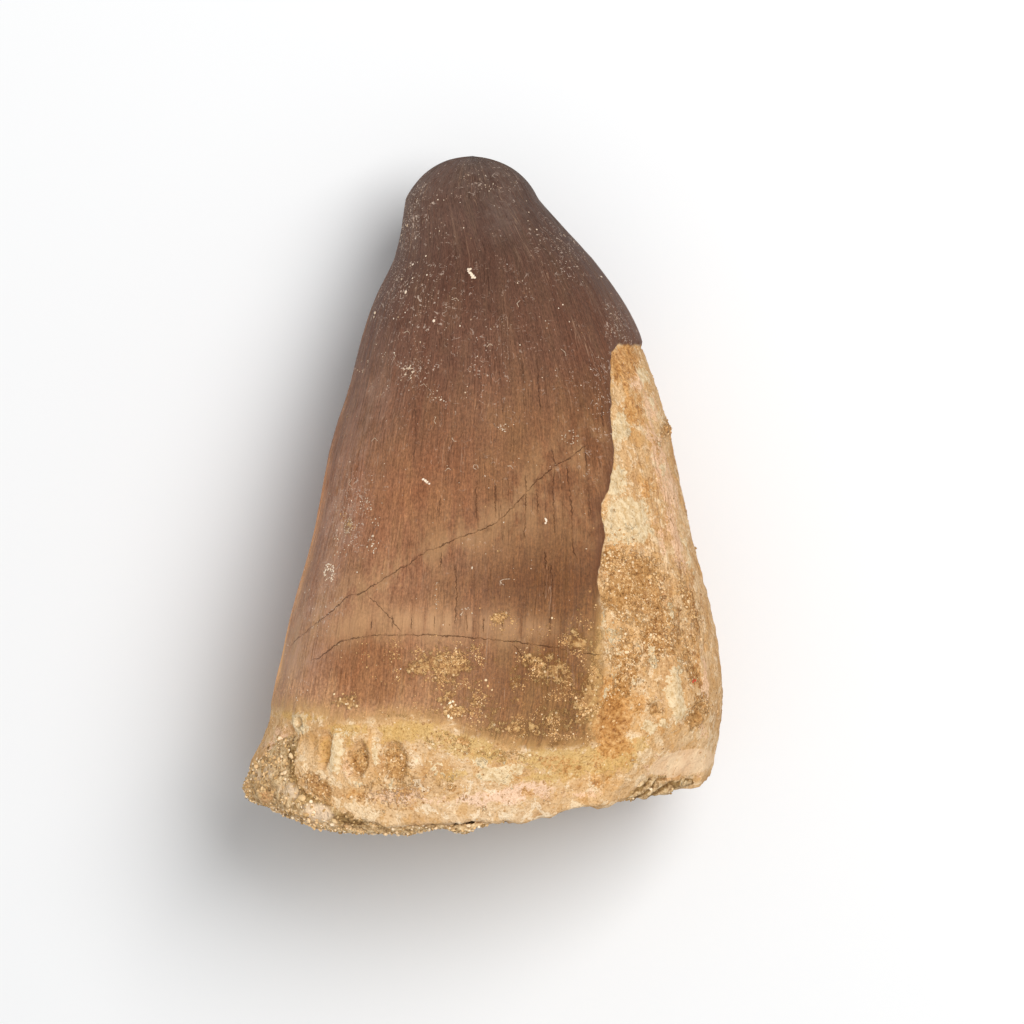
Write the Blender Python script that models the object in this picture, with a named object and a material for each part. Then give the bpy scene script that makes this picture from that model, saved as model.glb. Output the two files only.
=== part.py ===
"""Fossil mosasaur tooth, lying on its tongue side with its tip towards +Y.

Two solids: the tooth, which is crown and root stub in one piece, and the sandy rock (matrix) that fills
the hollow of the broken root and shows where the root's wall has broken away.

A place on the tooth is given by two numbers: `along`, the distance from the broken root towards the tip,
and `turn`, the angle about the tooth's long axis, 0 at the right-hand cutting edge (+X), 90 degrees at the
middle of the lip side (+Z), 180 at the left-hand cutting edge and 270 on the tongue side it lies on.
"""

import math
from collections import namedtuple

import bmesh
import bpy
from mathutils import Matrix, Vector, noise
from mathutils.bvhtree import BVHTree

MM = 0.001

# ---- Driving dimensions -------------------------------------------------------------------------------
LENGTH = 45.0 * MM  # broken root to tip
ENAMEL = 0.35 * MM  # step from the enamel down to bare dentine, beside the strip where it has flaked off
ENAMEL_AT_ROOT = 0.16 * MM  # the same step at the foot of the crown, where enamel thins out
WALL = 3.3 * MM  # root wall around the hollow
THIN_WALL = 0.72  # share of that thickness on the lip and tongue sides
HOLLOW_DEPTH = 8.0 * MM  # reach of the hollow up into the root, measured like `along`
HOLLOW_TAPER = 0.62  # width of the hollow at its roof, as a share of its width at its mouth
LEAST_HOLLOW = 1.1 * MM  # least height of its roof above its mouth
ROOF_RISE = 0.5 * MM  # the roof is domed
GAP = 0.3 * MM  # least clearance between the tooth and the matrix in its hollow
PLUG_GAP = 1.5 * GAP  # the clearance aimed at beside the matrix
TOP_GAP = 1.6 * GAP  # and above it
RIM_GAP = 1.25 * GAP  # and between the rim and the matrix below it
ENAMEL_THINS = 6.0 * MM  # over this distance above the foot of the crown
LEDGE = 0.12 * MM  # width of the sloping face of an enamel step

# The outline: left and right edges seen from above, and the heights of the tongue side and lip side.
Station = namedtuple("Station", "along left right tongue lip")
STATIONS = [
    Station(0.0, -15.1, 13.8, 0.10, 19.5),  # broken end of the root
    Station(4.5, -15.55, 15.5, -0.75, 20.7),  # root
    Station(6.6, -14.6, 15.85, -0.50, 21.1),
    Station(9.0, -14.0, 16.1, 0.15, 21.3),  # foot of the crown
    Station(14.0, -12.75, 15.4, 0.50, 21.2),
    Station(20.9, -10.9, 14.05, -0.15, 20.2),  # swell of the crown
    Station(25.0, -10.15, 13.2, -0.50, 19.0),
    Station(30.0, -8.7, 11.8, 0.15, 17.2),
    Station(35.4, -7.2, 9.35, 1.30, 14.9),
    Station(38.2, -5.75, 7.3, 2.20, 13.4),  # shoulder below the tip
    Station(40.6, -5.25, 5.15, 2.95, 12.2),  # neck
    Station(42.2, -5.2, 4.0, 3.30, 11.9),  # blunt tip, before its dome
    Station(45.0, -5.2, 3.9, 3.50, 11.8),
]
DOME_START = 40.9 * MM  # where the tip starts to round over
WIDEST_LEVEL = 0.47  # height of the cutting edges, as a share of the thickness
LIP_ROUNDNESS = 2.15  # exponent of the superellipse on the lip side: 2 is an ellipse, more is squarer
TONGUE_ROUNDNESS = 2.45
SWELLS = [(0.16 * MM, 9.0 * MM), (0.08 * MM, 4.0 * MM)]  # height and width of the surface's unevenness
KEEL = 0.014  # share by which the cutting edges stand out from the oval section
KEEL_WIDTH = math.radians(7)

# ---- Where the enamel ends ----------------------------------------------------------------------------
STRIP_TOP = 32.4 * MM  # the flaked strip runs from here down to the root, over the right-hand edge
STRIP_FRONT = [  # its edge on the lip side, as (along in mm, turn in degrees)
    (0.0, 65.0),
    (9.0, 64.0),
    (16.4, 62.0),
    (18.3, 60.5),
    (19.7, 58.5),
    (21.5, 59.0),
    (22.8, 55.5),
    (24.6, 51.3),
    (29.3, 47.5),
    (32.4, 38.5),
    (45.0, 38.5),
]
STRIP_BACK = [(0.0, -52.0), (16.0, -46.0), (32.4, -34.0), (45.0, -34.0)]  # and on the tongue side
CROWN_FOOT = [  # lower edge of the enamel, as (turn in degrees, along in mm)
    (0.0, 6.4),
    (66.0, 5.7),
    (83.0, 5.6),
    (89.5, 6.0),
    (98.0, 6.85),
    (107.5, 7.7),
    (115.0, 7.6),
    (124.0, 7.4),
    (137.0, 7.85),
    (146.0, 8.25),
    (180.0, 8.4),
    (215.0, 8.0),
    (250.0, 7.0),
    (285.0, 6.6),
    (360.0, 6.4),
]

# ---- The broken root ----------------------------------------------------------------------------------
RIM = [  # broken edge of the root's wall, as (turn in degrees, along in mm)
    (0.0, 4.1),
    (8.0, 3.6),
    (15.0, 3.1),
    (20.0, 3.0),  # a small notch starts
    (22.5, 3.9),
    (36.0, 3.85),
    (43.0, 3.4),
    (46.5, 2.45),  # and ends
    (64.0, 2.1),
    (72.0, 1.45),
    (79.0, 1.55),
    (88.0, 1.6),
    (96.0, 1.45),
    (108.0, 1.3),
    (118.0, 1.35),
    (126.0, 1.75),
    (133.0, 2.5),  # the wall is missing from here, where matrix shows
    (141.0, 3.0),
    (144.5, 3.9),
    (147.0, 6.3),
    (150.0, 6.6),
    (158.0, 5.85),
    (163.0, 5.1),
    (180.0, 4.1),
    (190.0, 3.6),  # and whole again from here
    (200.0, 2.6),
    (215.0, 1.8),
    (240.0, 1.3),
    (265.0, 1.5),
    (285.0, 2.1),
    (300.0, 2.5),
    (330.0, 3.4),
    (350.0, 4.0),
    (360.0, 4.1),
]
RIM_JAGS = 0.18 * MM
BREAK_DEPTH = 0.4 * MM  # the break slants up towards the hollow by this much
BREAK_FACE = [0.12, 0.5, 0.85]  # rings of the broken face, as shares of the way from outside to inside
BREAK_EDGE = 0.985  # the broken face starts this little inside the surface
BREAK_DISH = (-0.18 * MM, 0.08 * MM)  # its height at its outer and inner edges, past the straight slant
BREAK_ROUGHNESS = 0.25 * MM
MATRIX_FOOT = [  # lower edge of the matrix, likewise
    (0.0, 4.0),
    (15.0, 3.2),
    (22.0, 2.9),
    (36.0, 2.55),
    (46.0, 2.3),
    (60.0, 2.2),
    (75.0, 1.2),
    (84.0, 0.95),
    (88.0, 0.7),
    (91.0, 0.05),  # a lump under the middle of the lip side
    (94.5, 0.1),
    (98.0, 0.5),
    (103.0, 0.3),
    (122.0, 0.23),
    (139.0, 0.56),
    (156.0, 1.3),
    (166.0, 1.6),
    (180.0, 2.9),
    (190.0, 2.9),
    (200.0, 1.8),
    (215.0, 1.15),
    (240.0, 0.75),
    (265.0, 1.1),
    (285.0, 1.7),
    (300.0, 2.1),
    (330.0, 3.0),
    (350.0, 3.7),
    (360.0, 4.0),
]
MATRIX_REACH = [  # how far it spreads across the broken wall: 0 not at all, 1 to the outer surface
    (0.0, 0.0),
    (22.0, 0.0),
    (26.0, 0.9),
    (40.0, 0.9),
    (46.0, 0.0),
    (76.0, 0.0),
    (83.0, 0.7),
    (91.0, 0.95),
    (100.0, 0.85),
    (124.0, 0.9),
    (131.0, 1.0),
    (178.0, 1.0),
    (192.0, 0.5),
    (202.0, 0.0),
    (360.0, 0.0),
]
CRUST_TURN = math.radians(172)  # the matrix bulges past the root's oval here, at the broken corner
CRUST_SPREAD = math.radians(42)
CRUST_BULGE = 0.09
CRUST_SHARE = 0.96  # elsewhere the matrix ends just inside the root's surface
CRUST_LUMPS = (0.16 * MM, 1.8 * MM)  # height and width
UNDERSIDE_LUMPS = (0.5 * MM, 2.4 * MM)
SHELF_DEPTH = 0.2 * MM  # least height of the matrix below the rim
BESIDE = math.radians(2.6)  # it also stays below the rim this far to either side
MATRIX_MIDDLE = 1.7 * MM  # height of its hollowed underside, in the middle
FACET_NORMAL = (0.68, -0.45, 0.58)  # a flat break across the root's lower right-hand corner
FACET_REACH = 15.25 * MM  # its distance from the origin of the outline
Pore = namedtuple("Pore", "name turn along width height depth")  # turn in degrees, the rest in mm
PORES = [  # open pores in the root's wall
    Pore("pore_1", 125.5, 5.32, 1.4, 1.9, 0.75),
    Pore("pore_2", 113.5, 4.85, 1.6, 2.4, 0.60),
    Pore("pore_3", 137.5, 5.6, 0.75, 2.3, 0.40),
]

# ---- Mesh fineness ------------------------------------------------------------------------------------
STRIP_COLUMNS = 18
OTHER_COLUMNS = [(0.0, 0.0), (4.0, 0.09), (34.0, 0.50), (52.0, 1.0)]  # share of the turn left, by column
DOME_RINGS = 6
SHOULDER_RINGS = 6
CROWN_RINGS = 15
ROOT_RINGS = 6
HOLLOW_RINGS = 3
PLUG_RINGS = [1.0, 0.55, 0.12]  # of the matrix in the hollow, as shares of the way up to its roof
SHELF_RINGS = [(0.25, 0.0), (0.95, 0.12), (1.0, 0.4), (1.0, 0.7)]  # below the rim: share outward, share down
FOOT_RINGS = [0.02, 0.16, 0.34, 0.54, 0.76]  # of its underside, as shares of the way to the middle
PORE_SEGMENTS = 12
CLEARING_ROUNDS = 8
SHARP_ANGLE = math.radians(40)  # edges sharper than this aren't shaded smooth
COLUMN_COUNT = STRIP_COLUMNS + 1 + int(OTHER_COLUMNS[-1][0]) + 1


def blend(low, high, share):
    return low + (high - low) * share


def curve_through(points, x):
    """The value at x of a smooth curve through (x, value) points, which doesn't overshoot them."""
    if x <= points[0][0]:
        return points[0][1]
    if x >= points[-1][0]:
        return points[-1][1]
    i = max(k for k in range(len(points) - 1) if points[k][0] <= x)

    def slope(k):
        (x0, y0), (x1, y1) = points[k], points[k + 1]
        return (y1 - y0) / (x1 - x0)

    def tangent(k):
        if k == 0:
            return slope(0)
        if k == len(points) - 1:
            return slope(k - 1)
        before, after = slope(k - 1), slope(k)
        return 0.0 if before * after <= 0 else 2 * before * after / (before + after)

    step = points[i + 1][0] - points[i][0]
    s = (x - points[i][0]) / step
    return (
        (1 + 2 * s) * (1 - s) ** 2 * points[i][1]
        + s * (1 - s) ** 2 * step * tangent(i)
        + s * s * (3 - 2 * s) * points[i + 1][1]
        - s * s * (1 - s) * step * tangent(i + 1)
    )


def around(points, turn):
    """The value at this turn of a curve given over 0 to 360 degrees, with values in mm, in metres."""
    return curve_through(points, math.degrees(turn) % 360) * MM


def angle_between(a, b):
    """The signed angle from b to a, in radians."""
    return (a - b + math.pi) % (2 * math.pi) - math.pi


def hump(turn, centre, spread):
    """1 at `centre`, falling smoothly to 0 at `spread` on either side."""
    away = abs(angle_between(turn, centre)) / spread
    return math.cos(away * math.pi / 2) ** 2 if away < 1 else 0.0


OUTLINE = {side: [(s.along, getattr(s, side)) for s in STATIONS] for side in Station._fields[1:]}


def outline(along):
    """The tooth's left, right, tongue and lip limits at this distance along it, in metres."""
    return [curve_through(points, along / MM) * MM for points in OUTLINE.values()]


def signed_power(value, power):
    return math.copysign(abs(value) ** power, value)


def centre_at(along):
    """The point of the long axis, level with the cutting edges."""
    left, right, tongue, lip = outline(along)
    return Vector(((left + right) / 2, along, blend(tongue, lip, WIDEST_LEVEL)))


def surface(along, turn, share=1.0, sink=0.0):
    """A point at `share` of the way from the long axis to the tooth's surface, and `sink` below that."""
    left, right, tongue, lip = outline(along)
    centre = Vector(((left + right) / 2, along, blend(tongue, lip, WIDEST_LEVEL)))
    half_width = (right - left) / 2
    upper = math.sin(turn) >= 0
    half_height = lip - centre.z if upper else centre.z - tongue
    power = 2 / (LIP_ROUNDNESS if upper else TONGUE_ROUNDNESS)
    if along > DOME_START:
        share *= math.sqrt(max(0.0, 1 - ((along - DOME_START) / (LENGTH - DOME_START)) ** 2))
    edge = max(math.exp(-((angle_between(turn, at) / KEEL_WIDTH) ** 2)) for at in (0, math.pi))
    share *= 1 - KEEL * (1 - edge)
    offset = Vector(
        (
            half_width * signed_power(math.cos(turn), power) * share,
            0,
            half_height * signed_power(math.sin(turn), power) * share,
        )
    )
    if sink and offset.length > sink:
        offset *= 1 - sink / offset.length
    return behind_facet(centre, centre + offset)


def behind_facet(centre, point):
    """The point, moved towards the long axis where it would stand past the root's flat break."""
    normal = Vector(FACET_NORMAL).normalized()
    past = normal.dot(point) - FACET_REACH
    away = normal.dot(point - centre)
    if past <= 0 or away <= 0:
        return point
    return point + (centre - point) * min(0.5, past / away)


def lumps(point, height, width):
    return height * noise.noise(point / width)


def set_down(point):
    """Moves a point that would lie under the supporting surface up to it, which leaves two worn flats."""
    return Vector((point.x, point.y, max(point.z, 0.0)))


def ring_noise(turn, fineness, seed):
    return noise.noise(Vector((math.cos(turn) * fineness, math.sin(turn) * fineness, seed)))


def rim(turn):
    """Height of the broken edge of the root's wall."""
    return around(RIM, turn) + RIM_JAGS * ring_noise(turn, 6.0, 2.0)


def mouth(turn):
    """Height at which the rim's broken face meets the hollow."""
    return rim(turn) + BREAK_DEPTH + BREAK_ROUGHNESS * ring_noise(turn, 3.0, 7.0)


def roof_height(turn):
    """Height of the hollow's roof at its sides."""
    return max(HOLLOW_DEPTH, mouth(turn) + LEAST_HOLLOW)


def radius_at(along, turn):
    return (surface(along, turn) - centre_at(along)).length


def hollow_share(turn, along):
    """The straight part of the hollow's wall, as a share of the way out to the surface."""
    return 1 - WALL / radius_at(along, turn) * blend(THIN_WALL, 1.0, abs(math.cos(turn)))


def tapered_share(turn, along):
    """The same, narrowing towards the roof."""
    up = max(0.0, (along - mouth(turn)) / (roof_height(turn) - mouth(turn)))
    return hollow_share(turn, along) * blend(1.0, HOLLOW_TAPER, up * up)


def plug_share(turn, along):
    """The side of the matrix, which stays clear of the hollow's wall."""
    return tapered_share(turn, along) - PLUG_GAP / radius_at(along, turn)


# ---- Columns of the mesh, which follow the strip's edges -----------------------------------------------
def column_turn(column, along):
    """The turn of a mesh column at this height. The first STRIP_COLUMNS + 1 lie in the strip."""
    front = math.radians(curve_through(STRIP_FRONT, along / MM))
    back = math.radians(curve_through(STRIP_BACK, along / MM))
    if in_strip(column):
        return blend(back, front, column / STRIP_COLUMNS)
    left, right, _, _ = outline(along)
    ledge = LEDGE / ((right - left) / 2)
    share = curve_through(OTHER_COLUMNS, column - STRIP_COLUMNS - 1)
    return blend(front + ledge, back - ledge + 2 * math.pi, share)


def in_strip(column):
    return column <= STRIP_COLUMNS


# ---- The tooth ----------------------------------------------------------------------------------------
def outer_heights():
    """For each outer ring, tip first, a function from turn to height, and the part it belongs to."""
    rings = []
    for k in range(1, DOME_RINGS + 1):
        lean = math.pi / 2 * (1 - k / DOME_RINGS)
        height = DOME_START + (LENGTH - DOME_START) * math.sin(lean)
        rings.append((lambda _, height=height: height, "tip"))
    for k in range(1, SHOULDER_RINGS + 1):
        height = blend(DOME_START, STRIP_TOP + LEDGE, k / SHOULDER_RINGS)
        rings.append((lambda _, height=height: height, "tip"))
    for k in range(CROWN_RINGS + 1):
        rings.append((lambda turn, share=k / CROWN_RINGS: crown_height(turn, share), "crown"))
    for k in range(ROOT_RINGS + 1):
        rings.append((lambda turn, share=k / ROOT_RINGS: root_height(turn, share), "root"))
    return rings


def crown_height(turn, down):
    return blend(STRIP_TOP, around(CROWN_FOOT, turn) + LEDGE, down)


def root_height(turn, down):
    return blend(around(CROWN_FOOT, turn), rim(turn), down)


def bare_depth(along, turn):
    """How deep the bare dentine lies below where the enamel's surface would be."""
    above_foot = (along - around(CROWN_FOOT, turn)) / ENAMEL_THINS
    return blend(ENAMEL_AT_ROOT, ENAMEL, min(1.0, max(0.0, above_foot)))


def outer_ring(height_of, part):
    points = []
    for column in range(COLUMN_COUNT):
        turn = column_turn(column, STRIP_TOP)
        for _ in range(2):  # a column's turn depends on its height, and that on the turn
            along = height_of(turn)
            turn = column_turn(column, along)
        bare = part == "root" or (part == "crown" and in_strip(column))
        point = surface(along, turn, sink=bare_depth(along, turn) if bare else 0.0)
        outward = (point - centre_at(along)).normalized()
        swell = sum(lumps(point, height, width) for height, width in SWELLS)
        points.append(set_down(point + outward * swell))
    return points


def root_turns():
    """The turns of the columns at the broken end of the root."""
    return [column_turn(column, rim(0)) for column in range(COLUMN_COUNT)]


def break_ring(across):
    """A ring of the wall's broken face, at this share of the way from outside to inside."""
    ring = []
    for turn in root_turns():
        along = blend(rim(turn), mouth(turn), across) + blend(*BREAK_DISH, across)
        along += BREAK_ROUGHNESS * ring_noise(turn, 5.0, across * 9)
        ring.append(set_down(surface(along, turn, blend(BREAK_EDGE, hollow_share(turn, along), across))))
    return ring


def hollow_ring(up):
    """A ring of the hollow's wall, from its mouth at 0 to its roof at 1."""
    heights = [(turn, blend(mouth(turn), roof_height(turn), up)) for turn in root_turns()]
    return [surface(along, turn, tapered_share(turn, along)) for turn, along in heights]


def closed_mesh(name, first_pole, rings, last_pole):
    """A mesh of rings of equal size, closed by a fan of triangles at either end."""
    bm = bmesh.new()
    loops = [[bm.verts.new(p) for p in ring] for ring in rings]
    first = bm.verts.new(first_pole)
    last = bm.verts.new(last_pole)
    count = len(loops[0])
    for k in range(count):
        n = (k + 1) % count
        bm.faces.new((first, loops[0][k], loops[0][n]))
        bm.faces.new((last, loops[-1][n], loops[-1][k]))
        for upper, lower in zip(loops, loops[1:]):
            bm.faces.new((upper[k], lower[k], lower[n], upper[n]))
    bmesh.ops.recalc_face_normals(bm, faces=bm.faces)
    bmesh.ops.triangulate(bm, faces=[f for f in bm.faces if len(f.verts) > 3])
    mesh = bpy.data.meshes.new(name)
    bm.to_mesh(mesh)
    bm.free()
    mesh.shade_smooth()
    mesh.set_sharp_from_angle(angle=SHARP_ANGLE)
    return mesh


def pore_cutter(pore):
    """An egg-shaped cutter set into the surface."""
    turn = math.radians(pore.turn)
    at = surface(pore.along * MM, turn)
    outward = (at - centre_at(pore.along * MM)).normalized()
    across = Vector((0, 1, 0)).cross(outward).normalized()
    up = outward.cross(across)
    bm = bmesh.new()
    bmesh.ops.create_uvsphere(bm, u_segments=PORE_SEGMENTS, v_segments=PORE_SEGMENTS // 2, radius=1.0)
    axes = Matrix((across * pore.width / 2, up * pore.height / 2, outward * pore.depth)).transposed() * MM
    bmesh.ops.transform(bm, matrix=Matrix.Translation(at) @ axes.to_4x4(), verts=bm.verts)
    bmesh.ops.recalc_face_normals(bm, faces=bm.faces)
    mesh = bpy.data.meshes.new(pore.name)
    bm.to_mesh(mesh)
    bm.free()
    cutter = add_object(pore.name, mesh)
    cutter.hide_render = True
    cutter.display_type = "WIRE"
    return cutter


def make_tooth(material):
    rings = [outer_ring(height_of, part) for height_of, part in outer_heights()]
    rings += [break_ring(across) for across in BREAK_FACE]
    rings += [hollow_ring(k / HOLLOW_RINGS) for k in range(HOLLOW_RINGS + 1)]
    roof = centre_at(HOLLOW_DEPTH + ROOF_RISE)
    tooth = add_object("tooth", closed_mesh("tooth", centre_at(LENGTH), rings, roof), material)
    for pore in PORES:
        cut = tooth.modifiers.new(pore.name, "BOOLEAN")
        cut.operation = "DIFFERENCE"
        cut.solver = "EXACT"
        cut.object = pore_cutter(pore)
    return tooth


# ---- The matrix ---------------------------------------------------------------------------------------
def below_rim(turn):
    """Height just clear of the rim, and of the sides of the places where it has broken away."""
    return min(rim(turn - BESIDE), rim(turn), rim(turn + BESIDE)) - RIM_GAP


def plug_ring(up):
    """A ring inside the hollow, from its mouth at 0 to its roof at 1."""
    heights = [(turn, blend(mouth(turn), roof_height(turn) - TOP_GAP, up)) for turn in root_turns()]
    return [surface(along, turn, plug_share(turn, along)) for turn, along in heights]


def shelf_ring(outward, down):
    """A ring of the matrix below the rim, `outward` of the way across the wall and `down` of its height."""
    ring = []
    for turn in root_turns():
        spread = around(MATRIX_REACH, turn) / MM
        foot = around(MATRIX_FOOT, turn)
        top = max(blend(mouth(turn) - GAP, below_rim(turn), min(1.0, 2 * spread)), foot + SHELF_DEPTH)
        along = blend(top, foot, down)
        bulge = CRUST_BULGE * hump(turn, CRUST_TURN, CRUST_SPREAD) * math.sin(math.pi * (0.1 + 0.8 * down))
        inner = plug_share(turn, along)
        outer = blend(inner, CRUST_SHARE + bulge, spread)
        point = surface(along, turn, blend(inner, outer, outward))
        away = (point - centre_at(along)).normalized()
        ring.append(set_down(point + away * spread * outward * lumps(point, *CRUST_LUMPS)))
    return ring


def foot_ring(inward):
    """A ring of the matrix's broken underside, `inward` of the way to the middle."""
    roughness = min(1.0, 2 * max(0.0, inward - 0.2))
    ring = []
    for turn in root_turns():
        foot = around(MATRIX_FOOT, turn)
        outer = blend(plug_share(turn, foot), CRUST_SHARE - 0.01, around(MATRIX_REACH, turn) / MM)
        along = blend(foot, MATRIX_MIDDLE, inward**2)
        point = surface(along, turn, outer * (1 - inward))
        point.y += roughness * lumps(point, *UNDERSIDE_LUMPS)
        ring.append(set_down(point))
    return ring


def tree_of(mesh):
    return BVHTree.FromPolygons([v.co for v in mesh.vertices], [tuple(p.vertices) for p in mesh.polygons])


def keep_clear(matrix, tooth):
    """Moves the matrix off the tooth wherever it comes closer to it than the clearance."""
    wall = tree_of(tooth)
    for _ in range(CLEARING_ROUNDS):
        for vertex in matrix.vertices:
            near, normal, _, distance = wall.find_nearest(vertex.co)
            if distance < 1.05 * GAP:
                away = vertex.co - near
                inside = distance < 0.01 * GAP or away.dot(normal) < 0
                vertex.co = set_down(near + (normal if inside else away.normalized()) * 1.1 * GAP)
        plug = tree_of(matrix)
        for corner in tooth.vertices:
            near, normal, face, distance = plug.find_nearest(corner.co)
            if 0.01 * GAP < distance < GAP and (corner.co - near).dot(normal) > 0:
                push = (near - corner.co) / distance * (1.05 * GAP - distance)
                for index in matrix.polygons[face].vertices:
                    matrix.vertices[index].co = set_down(matrix.vertices[index].co + push)


def make_matrix(tooth, material):
    rings = [plug_ring(up) for up in PLUG_RINGS]
    rings += [shelf_ring(outward, down) for outward, down in SHELF_RINGS]
    rings += [foot_ring(inward) for inward in FOOT_RINGS]
    top = centre_at(HOLLOW_DEPTH + ROOF_RISE - 2 * GAP)
    mesh = closed_mesh("matrix", top, rings, centre_at(MATRIX_MIDDLE))
    keep_clear(mesh, tooth.data)
    return add_object("matrix", mesh, material)


# ---- Scene --------------------------------------------------------------------------------------------
def make_material(name, colour, roughness):
    material = bpy.data.materials.new(name)
    material.use_nodes = True
    shader = material.node_tree.nodes["Principled BSDF"]
    shader.inputs["Base Color"].default_value = (*colour, 1.0)
    shader.inputs["Roughness"].default_value = roughness
    shader.inputs["Metallic"].default_value = 0.0
    return material


def add_object(name, mesh, material=None):
    obj = bpy.data.objects.new(name, mesh)
    if material:
        mesh.materials.append(material)
    bpy.context.scene.collection.objects.link(obj)
    return obj


def centre_on_origin(parts):
    """Puts the middle of the tooth's footprint at the origin, on the supporting surface."""
    points = [part.matrix_world @ v.co for part in parts for v in part.data.vertices]
    middle_x = (min(p.x for p in points) + max(p.x for p in points)) / 2
    middle_y = (min(p.y for p in points) + max(p.y for p in points)) / 2
    for obj in bpy.context.scene.objects:
        obj.location -= Vector((middle_x, middle_y, 0))


def main():
    for obj in list(bpy.data.objects):
        bpy.data.objects.remove(obj)
    tooth = make_tooth(make_material("tooth", (0.30, 0.15, 0.08), 0.45))
    matrix = make_matrix(tooth, make_material("matrix", (0.50, 0.34, 0.18), 0.9))
    centre_on_origin([tooth, matrix])


main()
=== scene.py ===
"""Looks of the fossil mosasaur tooth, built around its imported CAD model.

The tooth is a fine grid measured off the CAD node: rows run from the tip to the broken rim, columns round
the long axis. Relief and colour masks are worked out for each point of the grid, and the shaders turn the
masks into crisp stains, chips and cracks. Loose sand and dust are small joined grains.

Lengths are millimetres until a mesh is written. Places on the side that shows are pixels of the
1024 x 1024 photograph, which `seen` gives for any point of the model; `turn` and `along` are the CAD
model's own numbers: the angle about the long axis, 0 at +X and 90 on the lip side (+Z), and the distance
from the broken root.
"""

import math
from functools import reduce
from types import SimpleNamespace

import bpy
import numpy as np
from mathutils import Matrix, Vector, noise
from mathutils.bvhtree import BVHTree


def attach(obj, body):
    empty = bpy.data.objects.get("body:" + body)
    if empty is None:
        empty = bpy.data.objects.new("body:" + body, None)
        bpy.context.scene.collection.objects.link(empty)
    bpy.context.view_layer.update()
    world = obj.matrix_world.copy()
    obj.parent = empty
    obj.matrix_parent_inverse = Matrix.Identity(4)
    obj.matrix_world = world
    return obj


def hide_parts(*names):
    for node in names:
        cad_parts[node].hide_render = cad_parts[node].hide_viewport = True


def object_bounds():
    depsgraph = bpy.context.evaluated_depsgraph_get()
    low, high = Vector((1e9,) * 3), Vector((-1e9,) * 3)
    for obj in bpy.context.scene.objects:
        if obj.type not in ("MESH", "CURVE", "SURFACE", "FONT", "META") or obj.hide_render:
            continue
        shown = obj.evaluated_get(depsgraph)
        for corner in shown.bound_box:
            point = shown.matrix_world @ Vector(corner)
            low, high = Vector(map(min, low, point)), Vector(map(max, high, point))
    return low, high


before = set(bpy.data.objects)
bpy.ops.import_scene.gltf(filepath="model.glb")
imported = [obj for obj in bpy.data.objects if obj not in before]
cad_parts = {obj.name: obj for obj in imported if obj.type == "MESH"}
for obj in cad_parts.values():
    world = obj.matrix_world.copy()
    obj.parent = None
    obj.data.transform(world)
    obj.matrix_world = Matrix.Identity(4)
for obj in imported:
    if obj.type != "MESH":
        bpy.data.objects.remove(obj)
CAD_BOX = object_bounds()
MM = 0.001

# ---- Camera and the photograph's frame ----------------------------------------------------------------
IMAGE = 1024
PIXEL = 0.0661  # mm to a pixel, at the height of the outline
OUTLINE_LEVEL = 10.0
MIDDLE = (2.12, -1.14)  # the point under the middle of the image
SENSOR = 36.0
LENS = 400.0
EYE_LEVEL = OUTLINE_LEVEL + IMAGE * PIXEL * LENS / SENSOR
ROOT_Y = -22.525  # `along` starts here

# ---- From the CAD model -------------------------------------------------------------------------------
# Its long axis, as (along, x): the middle of the outline.
AXIS = [(0, -0.5), (4.5, 0.1), (6.6, 0.75), (9, 1.2), (14, 1.45), (20.9, 1.7), (25, 1.65), (30, 1.7),
        (35.4, 1.2), (38.2, 0.9), (40.6, 0.1), (42.2, -0.45), (45, -0.5)]
WIDEST_LEVEL = 0.47  # height of the cutting edges, as a share of the thickness
DOME_START = 40.9
TIP = 45.0
STRIP_TOP = 32.4
STRIP_FRONT = [(0, 65), (9, 64), (16.4, 62), (18.3, 60.5), (19.7, 58.5), (21.5, 59), (22.8, 55.5),
               (24.6, 51.3), (29.3, 47.5), (32.4, 38.5)]
STRIP_BACK = [(0, -52), (16, -46), (32.4, -34)]
CROWN_FOOT = [(0, 6.4), (66, 5.7), (83, 5.6), (89.5, 6.0), (98, 6.85), (107.5, 7.7), (115, 7.6), (124, 7.4),
              (137, 7.85), (146, 8.25), (180, 8.4), (215, 8.0), (250, 7.0), (285, 6.6), (360, 6.4)]
ENAMEL = 0.35
ENAMEL_AT_ROOT = 0.16
ENAMEL_THINS = 6.0
CAD_PORES = [(125.5, 5.32), (113.5, 4.85), (137.5, 5.6)]  # turn, along
PORE_TURN, PORE_REACH = 6.5, 1.7  # how far round and along each is left out of the measuring
STEP_PROBES = [(0.02, 0), (-0.02, 0), (0, 0.25), (0, -0.25)]  # radians round, mm along
STEP_SEEN = 0.05  # a measure is left out where the enamel's step between them is more than this
FACET_NORMAL = (0.68, -0.45, 0.58)
FACET_REACH = 15.25
FACET_ORIGIN = (0.134, ROOT_Y, 0.0)
LEVEL_ROWS = (3.0, TIP - 0.2, 1.5)  # along, where the height of its axis is measured: from, to, step
LEAST_RADIUS = 4.5  # anything nearer the axis than this is the hollow's wall
HIGHEST_RIM = 8.4
RIM_HALVINGS = 11
TIP_MARGIN = 0.02
FAR = 40.0  # rays start this far from the axis
HIGH = 60.0  # and this far above and below it, where its height is measured

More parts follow.
